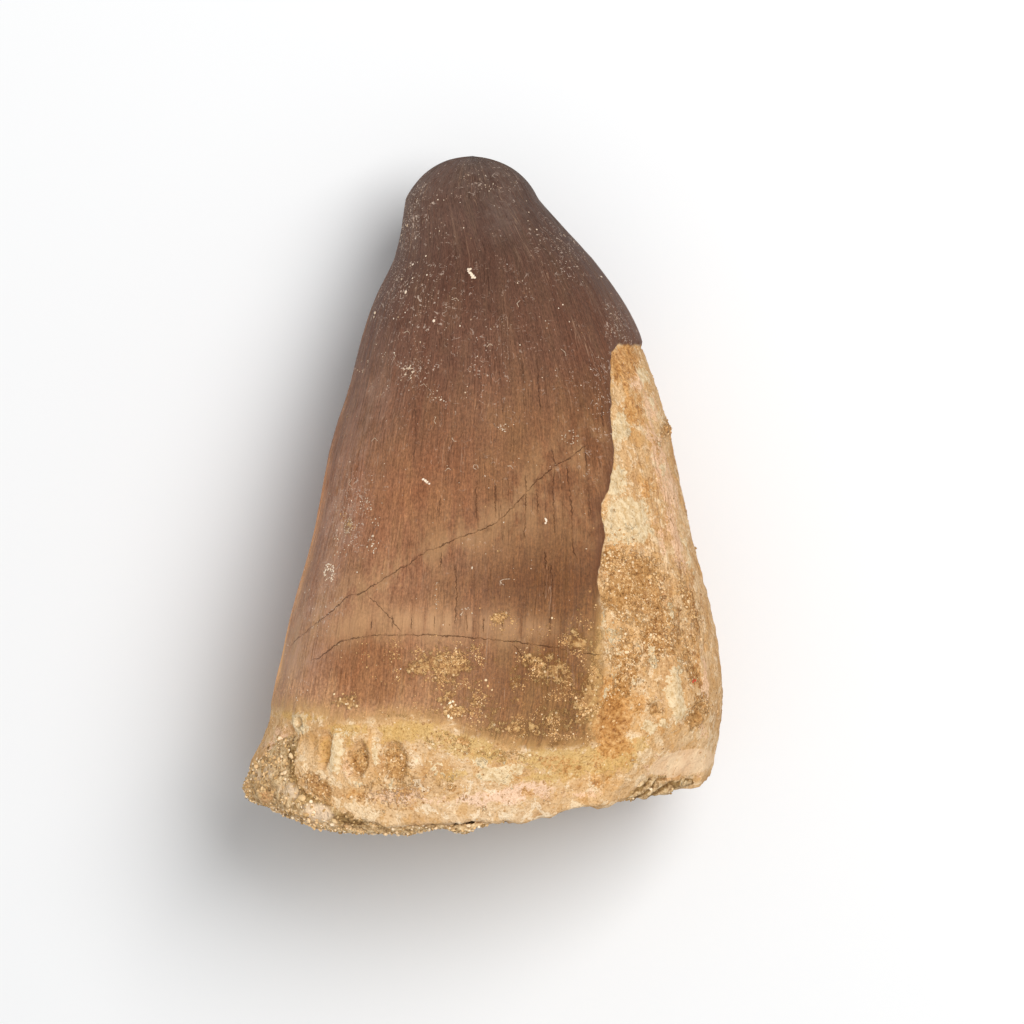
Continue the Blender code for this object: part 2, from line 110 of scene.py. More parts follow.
# ---- Fineness -----------------------------------------------------------------------------------------
SHOWN = (-9, 189)  # degrees, the turns that show or nearly so
SHOWN_COLUMNS = 300
HIDDEN_COLUMNS = 72
DOME_ROWS = 26
BODY_ROWS = 218
COARSE_COLUMNS = 120
COARSE_DOME_ROWS = 7
COARSE_BODY_ROWS = 42
ROW_FOOT = 9.2  # rows are straight rings above here and follow the broken rim below
ROW_SHARE = 0.82
BREAK_ROWS = 6
HOLLOW_ROWS = 6
MATRIX_VOXEL = 0.20

# ---- Marks on the tooth, in pixels of the photograph ---------------------------------------------------
FACET = (684, 764, 33, 13, -12)  # an oval, as in the tables of stains below
NOTCH = (664, 789, 31, 13, -14)
FOOT_LINE = [(230, 707), (274, 709), (306, 711), (326, 717), (354, 723), (373, 724), (393, 720), (421, 719),
             (460, 732), (498, 745), (527, 751), (560, 752), (593, 749), (760, 745)]
STRIP_LEFT = [(330, 640), (338, 628), (344, 619), (352, 614), (392, 611), (430, 614), (463, 616), (478, 612),
              (490, 609), (502, 602), (518, 602), (530, 606), (537, 607), (559, 603), (588, 602), (640, 600),
              (700, 598), (760, 596)]  # (row, column)
STRIP_TOP_ROW = 343

CRACK_A = [(591, 441), (568, 459), (555, 466), (539, 479), (525, 493), (513, 507), (496, 523), (475, 532),
           (456, 538), (442, 546), (426, 551), (408, 564), (393, 572), (373, 586), (361, 593), (348, 596),
           (332, 611), (316, 623), (301, 635), (288, 647)]
CRACK_B = [(306, 662), (320, 657), (328, 651), (340, 641), (354, 638), (373, 635), (403, 635), (434, 635),
           (475, 638), (511, 641), (532, 644), (559, 648), (585, 653), (604, 656)]
CRACK_C = [(366, 594), (377, 604), (391, 618), (403, 634)]
CRACK_D = [(512, 642), (522, 656), (530, 667)]
HAIRLINES = [  # fine cracks along the crown
    [(551, 444), (555, 466), (552, 485), (554, 503), (555, 537)],
    [(566, 462), (571, 500), (573, 546), (578, 566)], [(585, 446), (588, 480), (591, 518)],
    [(525, 470), (526, 500), (524, 542)], [(537, 486), (538, 520)], [(545, 545), (546, 572), (543, 600)],
    [(508, 470), (509, 498)], [(495, 480), (496, 522)], [(476, 476), (477, 522)],
    [(441, 494), (439, 515), (436, 520)], [(442, 549), (440, 576)], [(551, 560), (552, 600), (549, 640)],
    [(455, 560), (457, 590), (455, 628)], [(372, 616), (371, 634)], [(392, 612), (393, 632)],
    [(412, 614), (411, 633)], [(434, 612), (435, 633)], [(466, 610), (467, 634)], [(483, 614), (484, 636)],
    [(503, 616), (502, 638)], [(455, 240), (456, 262), (458, 275)], [(414, 390), (416, 430), (413, 470)],
    [(536, 340), (538, 380), (541, 420)], [(602, 400), (604, 440)],
]
LOWER_HAIRLINES = 12  # the first of them, which share a channel with crack B


def curve(points, x):
    """A straight-line curve through (x, value) points."""
    xs, values = np.array(points, float).T
    return np.interp(x, xs, values)


def step(low, high, x):
    """0 below `low`, 1 above `high`, smooth between; also falling where low > high."""
    share = np.clip((x - low) / (high - low), 0, 1)
    return share * share * (3 - 2 * share)


def blend(low, high, share):
    return low + (high - low) * share


def seen(points):
    """The pixel of the photograph where each point shows, as columns and rows."""
    scale = (EYE_LEVEL - OUTLINE_LEVEL) / (EYE_LEVEL - points[..., 2]) / PIXEL
    column = IMAGE / 2 + (points[..., 0] - MIDDLE[0]) * scale
    row = IMAGE / 2 - (points[..., 1] - MIDDLE[1]) * scale
    return column, row


def outward(turn):
    """Unit vectors away from the long axis."""
    return np.stack([np.cos(turn), 0 * turn, np.sin(turn)], -1)


def field(points, width, seed=0.0, stretch=(1, 1, 1)):
    """Smooth noise, about -1 to 1, whose lumps are `width` mm across."""
    flat = points.reshape(-1, 3) / (np.array(stretch) * width) + seed * 17.31
    values = [noise.noise(Vector(p)) for p in flat.tolist()]
    return np.array(values).reshape(points.shape[:-1]) * 1.6


def in_oval(column, row, at_column, at_row, width, height, lean):
    """Place in an oval's own frame, where its edge is 1 from its middle. Sizes are half-widths, in pixels."""
    c, s = math.cos(math.radians(lean)), math.sin(math.radians(lean))
    x, y = column - at_column, row - at_row
    return (x * c + y * s) / width, (y * c - x * s) / height


def oval(column, row, *place):
    """Distance from the middle of an oval, 1 on its edge."""
    return np.hypot(*in_oval(column, row, *place))


def blob(column, row, *place):
    """1 in the middle of an oval, falling to 0.37 at its edge."""
    x, y = in_oval(column, row, *place)
    return np.exp(-(x ** 2) - y ** 2)


def blobs(column, row, ovals):
    """The strongest of several ovals."""
    total = np.zeros(column.shape)
    for place in ovals:
        lean = place[4] if len(place) > 4 else 0.0
        strength = place[5] if len(place) > 5 else 1.0
        total = np.maximum(total, strength * blob(column, row, *place[:4], lean))
    return total


def line_distance(column, row, line):
    """Signed distance in mm from a line of pixels, how strong it is there (0 past its ends), and the
    plain distance."""
    line = np.array(line, float)
    best = np.full(column.shape, 1e9)
    signed = np.zeros(column.shape)
    strength = np.zeros(column.shape)
    lengths = np.hypot(*np.diff(line, axis=0).T)
    whole = lengths.sum()
    done = 0.0
    for (x0, y0), (x1, y1), length in zip(line, line[1:], lengths):
        ux, uy = (x1 - x0) / length, (y1 - y0) / length
        reach = (column - x0) * ux + (row - y0) * uy
        inside = np.clip(reach, 0, length)
        away = np.hypot(column - x0 - ux * inside, row - y0 - uy * inside)
        side = (column - x0) * uy - (row - y0) * ux
        nearer = away < best
        best = np.where(nearer, away, best)
        signed = np.where(nearer, side, signed)
        from_end = np.minimum(done + reach, whole - done - reach)
        strength = np.where(nearer, step(-1.0, 8.0, from_end), strength)
        done += length
    return signed * PIXEL, strength * step(12.0, 5.0, best), best * PIXEL


def nearest_line(column, row, lines, faint_lines):
    """line_distance for the nearest of several lines that don't touch."""
    signed = np.full(column.shape, 9.0)
    strength = np.zeros(column.shape)
    for line in [*lines, *faint_lines]:
        new_signed, new_strength, _ = line_distance(column, row, line)
        new_strength = new_strength * (0.95 if line in faint_lines else 1.0)
        nearer = np.abs(new_signed) + 3 * (new_strength <= 0) < np.abs(signed) + 3 * (strength <= 0)
        signed = np.where(nearer, new_signed, signed)
        strength = np.where(nearer, new_strength, strength)
    return signed, strength


# ---- Meshes ---------------------------------------------------------------------------------------------
def add_attribute(mesh, name, values):
    """Writes a (count,) or (count, 3) array, one value a point, for the shaders to read."""
    kind, slot = ("FLOAT", "value") if values.ndim == 1 else ("FLOAT_VECTOR", "vector")
    layer = mesh.attributes.new(name, kind, "POINT")
    layer.data.foreach_set(slot, values.astype(np.float32).ravel())


def mesh_object(name, points, faces, attributes=None):
    """A mesh object from points in mm, with named attributes."""
    mesh = bpy.data.meshes.new(name)
    mesh.from_pydata((np.asarray(points) * MM).tolist(), [], faces)
    for key, values in (attributes or {}).items():
        add_attribute(mesh, key, values)
    mesh.shade_smooth()
    obj = bpy.data.objects.new(name, mesh)
    bpy.context.scene.collection.objects.link(obj)
    return obj


def node_mesh(name):
    """The points, in mm, and faces of a CAD node."""
    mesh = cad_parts[name].data
    points = np.empty(len(mesh.vertices) * 3)
    mesh.vertices.foreach_get("co", points)
    return points.reshape(-1, 3) / MM, [tuple(p.vertices) for p in mesh.polygons]


def node_tree(name):
    points, faces = node_mesh(name)
    return BVHTree.FromPolygons(points.tolist(), faces)


def grid_faces(rows, columns, first_pole, last_pole):
    """Faces of a grid of rows closed round its columns, with a pole at either end."""
    index = np.arange(rows * columns).reshape(rows, columns)
    after = np.roll(index, -1, axis=1)
    quads = np.stack([index[:-1], after[:-1], after[1:], index[1:]], -1).reshape(-1, 4).tolist()
    quads += [(first_pole, b, a) for a, b in zip(index[0].tolist(), after[0].tolist())]
    quads += [(last_pole, a, b) for a, b in zip(index[-1].tolist(), after[-1].tolist())]
    return quads


def grid_steps(grid):
    """Vectors from each point of a grid to the next one down and the next one across."""
    across = (np.roll(grid, -1, axis=1) - np.roll(grid, 1, axis=1)) / 2
    return np.gradient(grid, axis=0), across


def grid_normals(grid):
    """Outward normals of a grid of points closed round its columns."""
    down, across = grid_steps(grid)
    normals = np.cross(across, down)
    normals /= np.linalg.norm(normals, axis=-1, keepdims=True) + 1e-9
    return normals


# ---- Measuring the CAD tooth ----------------------------------------------------------------------------
class Measure:
    """The outer surface of the CAD tooth, as distances from its long axis."""

    def __init__(self):
        self.tree = node_tree("tooth")
        self.levels = self.measure_levels()

    def hit(self, origin, direction):
        point, _, _, _ = self.tree.ray_cast(Vector(origin), Vector(direction))
        return point

    def measure_levels(self):
        """(along, height of the axis): between the tongue and lip sides."""
        levels = []
        for along in np.arange(*LEVEL_ROWS):
            x = curve(AXIS, along)
            top = self.hit((x, ROOT_Y + along, HIGH), (0, 0, -1))
            bottom = self.hit((x, ROOT_Y + along, -HIGH), (0, 0, 1))
            levels.append((along, blend(bottom.z, top.z, WIDEST_LEVEL)))
        return levels

    def axis(self, along):
        along = np.asarray(along, float)
        return np.stack([curve(AXIS, along), ROOT_Y + along, curve(self.levels, along)], -1)

    def radius(self, turn, along):
        """Distance of the surface from the axis, or None where the wall has broken away."""
        centre = self.axis(along)
        out = Vector((math.cos(turn), 0, math.sin(turn)))
        point = self.hit(centre + np.array(out) * FAR, -out)
        if point is None:
            return None
        reach = (point - Vector(centre)).dot(out)
        return reach if reach > LEAST_RADIUS or along > DOME_START else None

    def rim(self, turn):
        """Height of the broken edge of the wall at this turn."""
        low, high = 0.0, HIGHEST_RIM
        for _ in range(RIM_HALVINGS):
            middle = (low + high) / 2
            if self.radius(turn, middle) is None:
                low = middle
            else:
                high = middle
        return high


def sink_of(turn, along):
    """How deep the CAD surface lies below the enamel's surface."""
    degrees = np.degrees(turn) % 360
    foot = curve(CROWN_FOOT, degrees)
    signed = (degrees + 180) % 360 - 180
    between = (signed < curve(STRIP_FRONT, along)) & (signed > curve(STRIP_BACK, along))
    depth = blend(ENAMEL_AT_ROOT, ENAMEL, np.clip((along - foot) / ENAMEL_THINS, 0, 1))
    return np.where(((along < STRIP_TOP) & between) | (along < foot), depth, 0.0)


def spline_weights(position, count, closed):
    """Indices and weights of the uniform cubic B-spline at each position."""
    base = np.floor(position).astype(int)
    s = position - base
    weights = [(1 - s) ** 3 / 6, (3 * s**3 - 6 * s**2 + 4) / 6,
               (-3 * s**3 + 3 * s**2 + 3 * s + 1) / 6, s**3 / 6]
    indices = [base + k for k in (-1, 0, 1, 2)]
    indices = [i % count if closed else np.clip(i, 0, count - 1) for i in indices]
    return indices, weights


def row_heights(v, rim):
    """`along` for row positions v: -1 to 0 over the dome of the tip, 0 to 1 from there to the rim."""
    dome = DOME_START + (TIP - DOME_START) * np.sin(np.clip(-v, 0, 1) * math.pi / 2)
    body = DOME_START - np.clip(v, 0, 1) * (DOME_START - ROW_FOOT) / ROW_SHARE
    below = np.clip((v - ROW_SHARE) / (1 - ROW_SHARE), 0, 1)
    return np.where(v < 0, dome, np.where(v < ROW_SHARE, body, blend(ROW_FOOT, rim, below)))


def fill_gaps(values, known):
    """Fills unknown cells smoothly from their neighbours."""
    values = np.where(known, values, values[known].mean())
    for _ in range(300):
        padded = np.pad(values, ((1, 1), (0, 0)), mode="edge")
        around = (padded[:-2] + padded[2:] + np.roll(values, 1, 1) + np.roll(values, -1, 1)) / 4
        values = np.where(known, values, around)
    return values


def measure_radii(measure):
    """Radii of the whole enamel surface on a coarse grid, without the CAD's facets, step and pores."""
    turns = np.arange(COARSE_COLUMNS) * 2 * math.pi / COARSE_COLUMNS
    v = np.concatenate([np.linspace(-1, 0, COARSE_DOME_ROWS, endpoint=False),
                        np.linspace(0, 1, COARSE_BODY_ROWS)])
    rims = np.array([measure.rim(t) for t in turns])
    radii = np.zeros((len(v), len(turns)))
    known = np.zeros(radii.shape, bool)
    for j, (turn, rim) in enumerate(zip(turns, rims)):
        for i, height in enumerate(row_heights(v, rim + 0.2)):
            if i == 0:
                known[i, j] = True
                continue
            found = measure.radius(turn, float(min(height, TIP - TIP_MARGIN)))
            pore = any(abs(math.degrees(turn) - t) < PORE_TURN and abs(height - a) < PORE_REACH
                       for t, a in CAD_PORES)
            sinks = [float(sink_of(turn + beside, height + above)) for beside, above in STEP_PROBES]
            on_step = max(sinks) - min(sinks) > STEP_SEEN
            if found is not None and not pore and not on_step:
                radii[i, j] = found + float(sink_of(turn, height))
                known[i, j] = True
    return turns, v, fill_gaps(radii, known)


# ---- The tooth's grid -----------------------------------------------------------------------------------
# Changes of the rim's height: mm, and the turns where each starts, is full, fades and ends. Two make the
# notch, and the last lowers the lip's edge.
RIM_RISES = [(0.90, 9.5, 12.5, 17, 20), (0.25, 30, 32, 34, 36), (-0.30, 62, 74, 126, 133)]
RIM_REACH = 13.0  # radius of the root


class ToothGrid:
    """The fine grid: base surface, pixel coordinates and the distance from the enamel's edge."""

    def __init__(self):
        self.measure = Measure()
        _, _, radii = measure_radii(self.measure)
        shown = np.linspace(*SHOWN, SHOWN_COLUMNS, endpoint=False)
        hidden = np.linspace(SHOWN[1], SHOWN[0] + 360, HIDDEN_COLUMNS, endpoint=False)
        self.turns = np.radians(np.concatenate([shown, hidden]))
        degrees = np.degrees(self.turns)
        ring = np.stack([np.cos(self.turns), np.sin(self.turns), 0 * self.turns], -1) * RIM_REACH
        self.rims = np.array([self.measure.rim(t) for t in self.turns])
        for rise, start, full, fading, end in RIM_RISES:
            self.rims += rise * step(start, full, degrees) * step(end, fading, degrees)
        self.rims += 0.10 * field(ring, 1.1, 1) + 0.07 * field(ring, 0.5, 2)
        v_dome = np.linspace(-1, 0, DOME_ROWS, endpoint=False)[1:]
        v = np.concatenate([v_dome, np.linspace(0, 1, BODY_ROWS)])
        v, turn = np.meshgrid(v, self.turns, indexing="ij")
        coarse_row = np.where(v < 0, (v + 1) * COARSE_DOME_ROWS,
                              COARSE_DOME_ROWS + v * (COARSE_BODY_ROWS - 1))
        row_index, row_weight = spline_weights(coarse_row, radii.shape[0], False)
        coarse_column = turn / (2 * math.pi) * COARSE_COLUMNS
        column_index, column_weight = spline_weights(coarse_column, COARSE_COLUMNS, True)
        radius = sum(radii[i, j] * a * b for i, a in zip(row_index, row_weight)
                     for j, b in zip(column_index, column_weight))
        self.turn = turn
        self.along = row_heights(v, self.rims)
        self.out = outward(turn)
        self.axis = self.measure.axis(self.along)
        self.base = self.behind_facet(self.axis + self.out * radius[..., None])
        self.normal = grid_normals(self.base)
        self.column, self.row = seen(self.base)
        uneven = self.normal[..., 2] + 0.22 * field(self.base, 3.5, 24) + 0.10 * field(self.base, 1.2, 25)
        self.facing = step(-0.30, 0.20, uneven)  # 0 on the hidden side
        self.enamel = self.enamel_distance()

    def behind_facet(self, points):
        normal = np.array(FACET_NORMAL) / np.linalg.norm(FACET_NORMAL)
        past = (points - np.array(FACET_ORIGIN)) @ normal - FACET_REACH
        past = np.where(past > 0, past, 0.0)
        return points - past[..., None] * normal

    def enamel_distance(self):
        """Signed distance in mm from the enamel's edge, positive on the enamel."""
        degrees = np.degrees(self.turn) % 360
        signed = (degrees + 180) % 360 - 180
        front = (curve(STRIP_LEFT, self.row) - self.column) * PIXEL * 1.2
        reach = np.linalg.norm(self.base - self.axis, axis=-1)
        back = np.radians(curve(STRIP_BACK, self.along) - signed) * reach
        above = (STRIP_TOP_ROW - self.row) * PIXEL
        beside = np.where(signed > 0, front, back)
        strip = np.where((signed < 110) & (signed > -110), np.maximum(beside, above), 9.0)
        foot_shown = (curve(FOOT_LINE, self.column) - self.row) * PIXEL
        foot_hidden = self.along - curve(CROWN_FOOT, degrees)
        foot = np.where(signed > SHOWN[0], foot_shown, foot_hidden)
        worn = step(540, 600, self.row) * step(9.0, 3.0, np.abs(strip))
        strip = strip + worn * (0.45 * field(self.base, 2.6, 22) + 0.25 * field(self.base, 1.0, 23))
        edge = np.minimum(strip, foot)
        edge = edge + 0.10 * field(self.base, 0.9, 3) + 0.06 * field(self.base, 0.4, 4)
        return np.clip(edge, -6, 6)


PITS = [  # column, row, half-width, half-height, lean, depth in mm, height of the rim round it
    (357, 759, 10.5, 19, 4, 0.42, 0.14), (394, 761, 13.5, 20, -14, 0.36, 0.1),
    (298, 722, 4.2, 5.5, 0, 0.3, 0.16), (324, 751, 5.5, 18, 8, 0.4, 0.03), (312, 742, 4, 6, 20, 0.15, 0),
    (560, 746, 6, 5, 0, 0.16, 0.1), (699, 714, 6.5, 15, 22, 0.42, 0), (673, 667, 2.2, 2.6, 0, 0.25, 0),
    (606, 706, 2.5, 9, 20, 0.12, 0), (664, 690, 2.6, 8, -10, 0.12, 0), (657, 710, 4.5, 7, 10, 0.22, 0),
    (436, 738, 5, 4, 0, 0.1, 0), (470, 752, 6, 4, 0, 0.1, 0), (528, 772, 9, 5, 20, 0.15, 0),
    (606, 780, 5, 8, 30, 0.12, 0),
]
RIBS = [  # column, row, half-width, half-height, lean, height in mm
    (335, 753, 5.5, 23, 6, 0.22), (676, 698, 4.5, 24, -6, 0.22), (669, 752, 7, 15, 62, 0.1),
    (310, 760, 3.5, 16, -12, 0.08), (559, 744, 10, 9, 0, 0.06), (640, 556, 3, 26, -8, 0.05),
    (668, 600, 3, 40, -14, 0.08), (697, 640, 2.6, 60, -12, 0.07), (686, 560, 2.6, 50, -16, 0.06),
    (670, 427, 4, 9, -14, 0.22),
]
# Ovals: column, row, half-width, half-height, and then a lean in degrees and a strength if given.
CREAM = [  # smooth pale patches of the strip and root
    (628, 520, 22, 26, 10, 1.2), (618, 480, 12, 18, 0), (640, 532, 16, 14, 0, 1.1), (622, 428, 9, 16, 10),
    (648, 374, 6, 11, -20, 0.9), (652, 345, 5, 6, 0, 0.6), (656, 400, 4, 14, -14, 0.6),
    (668, 470, 5, 16, -10, 0.6), (615, 640, 12, 22, 0, 0.6), (677, 697, 9, 28, -4, 1.25),
    (664, 724, 7, 5, 20, 0.8), (497, 776, 20, 9, 6, 0.95), (516, 770, 12, 8, 10, 0.8),
    (480, 762, 10, 6, 0, 0.6), (336, 755, 7, 26, 5, 0.85), (360, 735, 14, 5, 8, 0.6),
    (375, 756, 4, 18, -8, 0.7), (357, 783, 12, 5, 0, 0.5), (650, 727, 9, 6, 30, 1.1),
    (470, 760, 22, 10, 0, 0.4), (298, 722, 9, 10, 0, 1.1), (341, 806, 4, 4, 0, 0.9),
    (392, 784, 9, 6, 0, 0.5), (603, 625, 8, 18, 0, 0.5), (690, 545, 4, 30, -14, 0.6),
    (440, 768, 18, 12, 0, 0.4), (672, 610, 4, 24, -14, 0.6), (655, 660, 5, 16, -6, 0.5),
    (612, 672, 3, 14, -20, 0.75), (619, 667, 3, 12, 22, 0.65), (607, 692, 3, 12, 26, 0.6),
    (634, 688, 4, 12, 0, 0.55),
]
OCHRE = [  # stained orange brown
    (628, 360, 16, 22, 0, 1.15), (638, 408, 14, 22, 0, 0.8), (662, 455, 12, 26, -12, 0.3),
    (650, 488, 6, 14, 0, 0.7), (665, 510, 9, 30, -10, 0.35), (617, 550, 12, 8, 0, 0.8),
    (612, 716, 20, 40, 0, 1.7), (640, 700, 9, 18, 0, 0.8), (530, 795, 10, 6, 20, 0.7),
    (455, 790, 14, 6, 0, 0.5), (352, 795, 20, 8, 10, 0.5), (625, 665, 16, 24, 0, 0.8),
    (655, 640, 18, 26, 0, 0.7), (600, 782, 12, 8, 30, 0.7), (698, 668, 7, 26, -4, 0.8),
    (520, 775, 10, 8, 0, 0.6), (558, 765, 26, 12, 0, 0.6), (610, 745, 18, 12, 0, 0.7),
    (400, 745, 40, 10, 0, 0.35), (660, 725, 10, 12, 0, 0.6), (628, 384, 8, 10, 0, 0.6),
]
PINK = [
    (345, 770, 16, 18, 0, 0.5), (668, 470, 10, 50, -16, 1), (680, 540, 8, 40, -14, 0.9),
    (655, 430, 10, 20, -10, 0.7), (642, 378, 12, 14, 0), (655, 405, 8, 18, -14),
    (665, 540, 6, 30, -14, 0.6), (500, 797, 46, 8, -6), (396, 795, 40, 10, 0, 0.8),
    (276, 745, 12, 22, 20, 0.9), (262, 770, 8, 20, 30, 0.8), (706, 680, 5, 34, -4, 0.8),
    (530, 790, 22, 10, 0, 0.9), (660, 705, 10, 12, 0, 0.6), (585, 795, 20, 6, -6, 0.8),
    (430, 800, 30, 8, 0, 0.7), (703, 730, 8, 14, 0, 0.7), (665, 795, 22, 4, -20, 0.6),
    (684, 764, 40, 16, -10, 0.8),
]
YELLOW = [  # yellow olive, along the foot of the enamel and below it
    (300, 716, 26, 6, 6), (352, 730, 30, 7, 0, 1.1), (410, 732, 40, 12, 0, 1.2),
    (470, 748, 44, 14, 12, 1.2), (555, 760, 44, 18, 0, 1.2), (600, 758, 40, 18, 0, 1.2),
    (630, 745, 24, 14, 0, 0.8), (324, 751, 6, 18, 8), (551, 749, 5, 4, 0), (455, 775, 30, 10, 0, 0.6),
    (540, 778, 30, 10, 0, 0.8), (375, 740, 60, 16, 0, 0.5), (635, 620, 20, 26, 0, 0.3),
]
SANDY = [  # rough, with sand sticking to it
    (632, 584, 28, 36, -6, 1.2), (625, 660, 22, 40, 0, 0.8), (660, 625, 24, 34, -10, 0.9),
    (690, 600, 8, 40, -14, 0.7), (699, 714, 9, 17, 22, 1.2), (657, 708, 8, 9, 0, 0.9),
    (645, 470, 10, 14, 0, 0.35), (670, 428, 8, 10, 0, 0.7), (317, 786, 18, 10, 38, 1.1),
    (400, 790, 60, 16, 0, 0.45), (395, 764, 12, 18, -14, 1.1), (357, 762, 8, 14, 0, 1),
    (500, 752, 50, 10, 6, 0.5), (455, 742, 36, 9, 10, 0.5), (622, 558, 20, 10, 0, 0.8),
    (600, 620, 6, 30, 0, 0.4), (690, 660, 10, 40, -8, 0.5),
]
CROWN_SAND = [  # sand on the enamel
    (440, 665, 46, 20, 0, 0.8), (470, 700, 40, 16, 10, 0.6), (550, 670, 44, 26, 0, 0.7),
    (575, 640, 20, 18, 0, 0.7), (349, 526, 5, 9, 0, 0.9), (345, 701, 15, 8, 0, 1),
    (498, 618, 12, 8, 0, 0.8), (560, 715, 40, 20, 0, 0.6), (455, 712, 26, 10, 0, 0.8),
    (597, 655, 12, 36, 0, 0.9), (420, 640, 40, 6, 0, 0.3), (590, 700, 20, 44, 0, 0.9),
    (520, 728, 50, 12, 6, 0.8), (390, 715, 40, 8, 0, 0.4), (520, 680, 40, 30, 0, 0.4),
]
# fine pale dust; the first, on the left edge of the tip's knob, is partly a painted sheen
DUST_AND_SHEEN = [  # fine pale dust on the enamel
    (400, 190, 12, 36, 12, 2.2), (412, 215, 18, 40, 14, 1), (395, 285, 20, 46, 20, 0.9),
    (425, 300, 50, 90, 0, 0.4), (560, 250, 24, 40, -30, 0.6), (620, 330, 16, 28, -20, 0.9),
    (480, 180, 60, 30, 0, 0.4), (415, 370, 26, 22, 0, 0.7), (470, 340, 130, 140, 0, 0.28),
    (350, 515, 22, 50, 12, 0.75), (332, 573, 12, 14, 0, 0.6), (318, 610, 26, 34, 20, 0.5),
    (600, 400, 16, 60, 0, 0.5), (500, 450, 120, 60, 0, 0.16), (450, 560, 130, 80, 0, 0.1),
    (300, 690, 26, 20, 0, 0.3), (590, 460, 14, 50, 0, 0.35),
]
MAUVE = [  # pinkish grey bloom on the enamel
    (338, 520, 22, 60, 14, 1), (312, 610, 22, 40, 20, 0.9), (300, 655, 26, 26, 0, 0.9),
    (366, 420, 26, 60, 16, 0.5), (352, 470, 24, 50, 14, 0.6), (380, 360, 30, 50, 14, 0.12),
]
BAND = [  # pale band across the crown
    (430, 622, 78, 15, 2), (345, 628, 40, 17, -10, 0.9), (520, 628, 50, 12, 2, 0.6),
    (300, 650, 14, 30, 20, 0.5),
]
BROWN = [  # darker brown enamel
    (372, 672, 42, 32, 0, 2.3), (460, 685, 100, 42, 2, 0.8), (480, 588, 60, 24, -8, 0.7),
    (400, 600, 24, 14, -20, 0.35), (425, 385, 34, 60, 10, 0.55), (592, 390, 22, 70, 0, 0.45),
    (455, 285, 40, 36, 0, 0.4), (430, 540, 44, 18, -24, 0.5), (380, 440, 22, 40, 14, 0.3),
]
# grey enamel; the first, on the left of the tip's knob, is partly a painted sheen
GREY_AND_SHEEN = [  # grey enamel
    (416, 205, 16, 44, 12), (508, 205, 26, 30, 0, 0.7), (470, 175, 60, 24, 0, 0.6),
    (332, 573, 10, 12, 0, 0.8), (344, 520, 22, 60, 12, 0.4),
]
HALO = [  # enamel bleached beside the cracks
    (535, 510, 62, 30, -24, 0.75), (588, 500, 22, 56, 0, 0.7), (430, 560, 46, 16, -18, 0.3),
]


def facet_share(column, row):
    """1 on the smooth worn corner at the lower right."""
    return step(1.2, 0.85, oval(column, row, *FACET))


CRACK_GROOVE = 0.13  # half-width, mm
FLOW_RADIUS = 12.0  # the shader's streaks run along a tube of this radius


def tooth_relief(grid):
    """Height in mm of each point above the smooth enamel surface."""
    column, row, base = grid.column, grid.row, grid.base
    edge = grid.enamel
    in_strip = column > curve(STRIP_LEFT, row) - 20
    foot = np.where(in_strip & (grid.facing > 0), 0, 1)
    at_foot = foot * step(3.0, 0.0, grid.along - 8.5)
    depth = blend(ENAMEL, ENAMEL_AT_ROOT, at_foot)
    worn = step(530, 630, row) * (1 - foot)  # the strip's edge wears down towards the root
    depth = depth * (1 - 0.65 * worn)
    soft = np.maximum(at_foot, worn)
    bare = step(blend(0.12, 0.8, soft), blend(-0.12, -0.8, soft), edge)
    flow = np.stack([np.cos(grid.turn) * FLOW_RADIUS, np.sin(grid.turn) * FLOW_RADIUS, grid.along / 9], -1)
    ridges = 0.022 * field(flow, 0.55, 5) + 0.016 * field(flow, 0.28, 6)
    swell = 0.05 * field(base, 5.0, 7) + 0.02 * field(base, 1.6, 8)
    height = -depth * bare - (1 - bare) * (1 - soft) * 0.16 * np.exp(-np.maximum(edge, 0) / 0.40)
    height += (1 - bare) * (ridges + swell)
    sandy = blobs(column, row, SANDY) * grid.facing + 0.45 * (1 - grid.facing)
    cream = blobs(column, row, CREAM) * grid.facing
    lumps = 0.060 * field(base, 1.5, 9) + 0.050 * field(base, 0.6, 10)
    grit = np.abs(field(base, 0.42, 11)) * 0.10 + 0.05 * field(base, 0.30, 12)
    patches = step(0.42, 0.55, cream + 0.30 * field(base, 0.9, 13))
    fibres = 0.03 * field(flow, 0.40, 14)
    rough = 1 - 0.8 * facet_share(column, row) * grid.facing
    height += bare * rough * (lumps + sandy * grit + fibres * (1 - sandy) + 0.07 * patches * (1 - sandy))
    for *place, depth, lip in PITS:
        away = oval(column, row, *place) + 0.10 * field(base, 0.8, place[0])
        floor = 0.10 * np.abs(field(base, 0.45, place[1]))
        raised = lip * np.exp(-(((away - 1.25) / 0.30) ** 2))
        height += grid.facing * (raised - (depth - floor) * step(1.08, 0.80, away))
    for *place, rise in RIBS:
        height += grid.facing * rise * blob(column, row, *place)
    height -= 0.10 * np.exp(-(grid.along - grid.rims) / 0.5)
    for depth, line in ((0.035, CRACK_A), (0.035, CRACK_B), (0.02, CRACK_C)):
        signed, strong, _ = line_distance(column, row, line)
        height -= grid.facing * depth * strong * np.exp(-((signed / CRACK_GROOVE) ** 2))
    return height


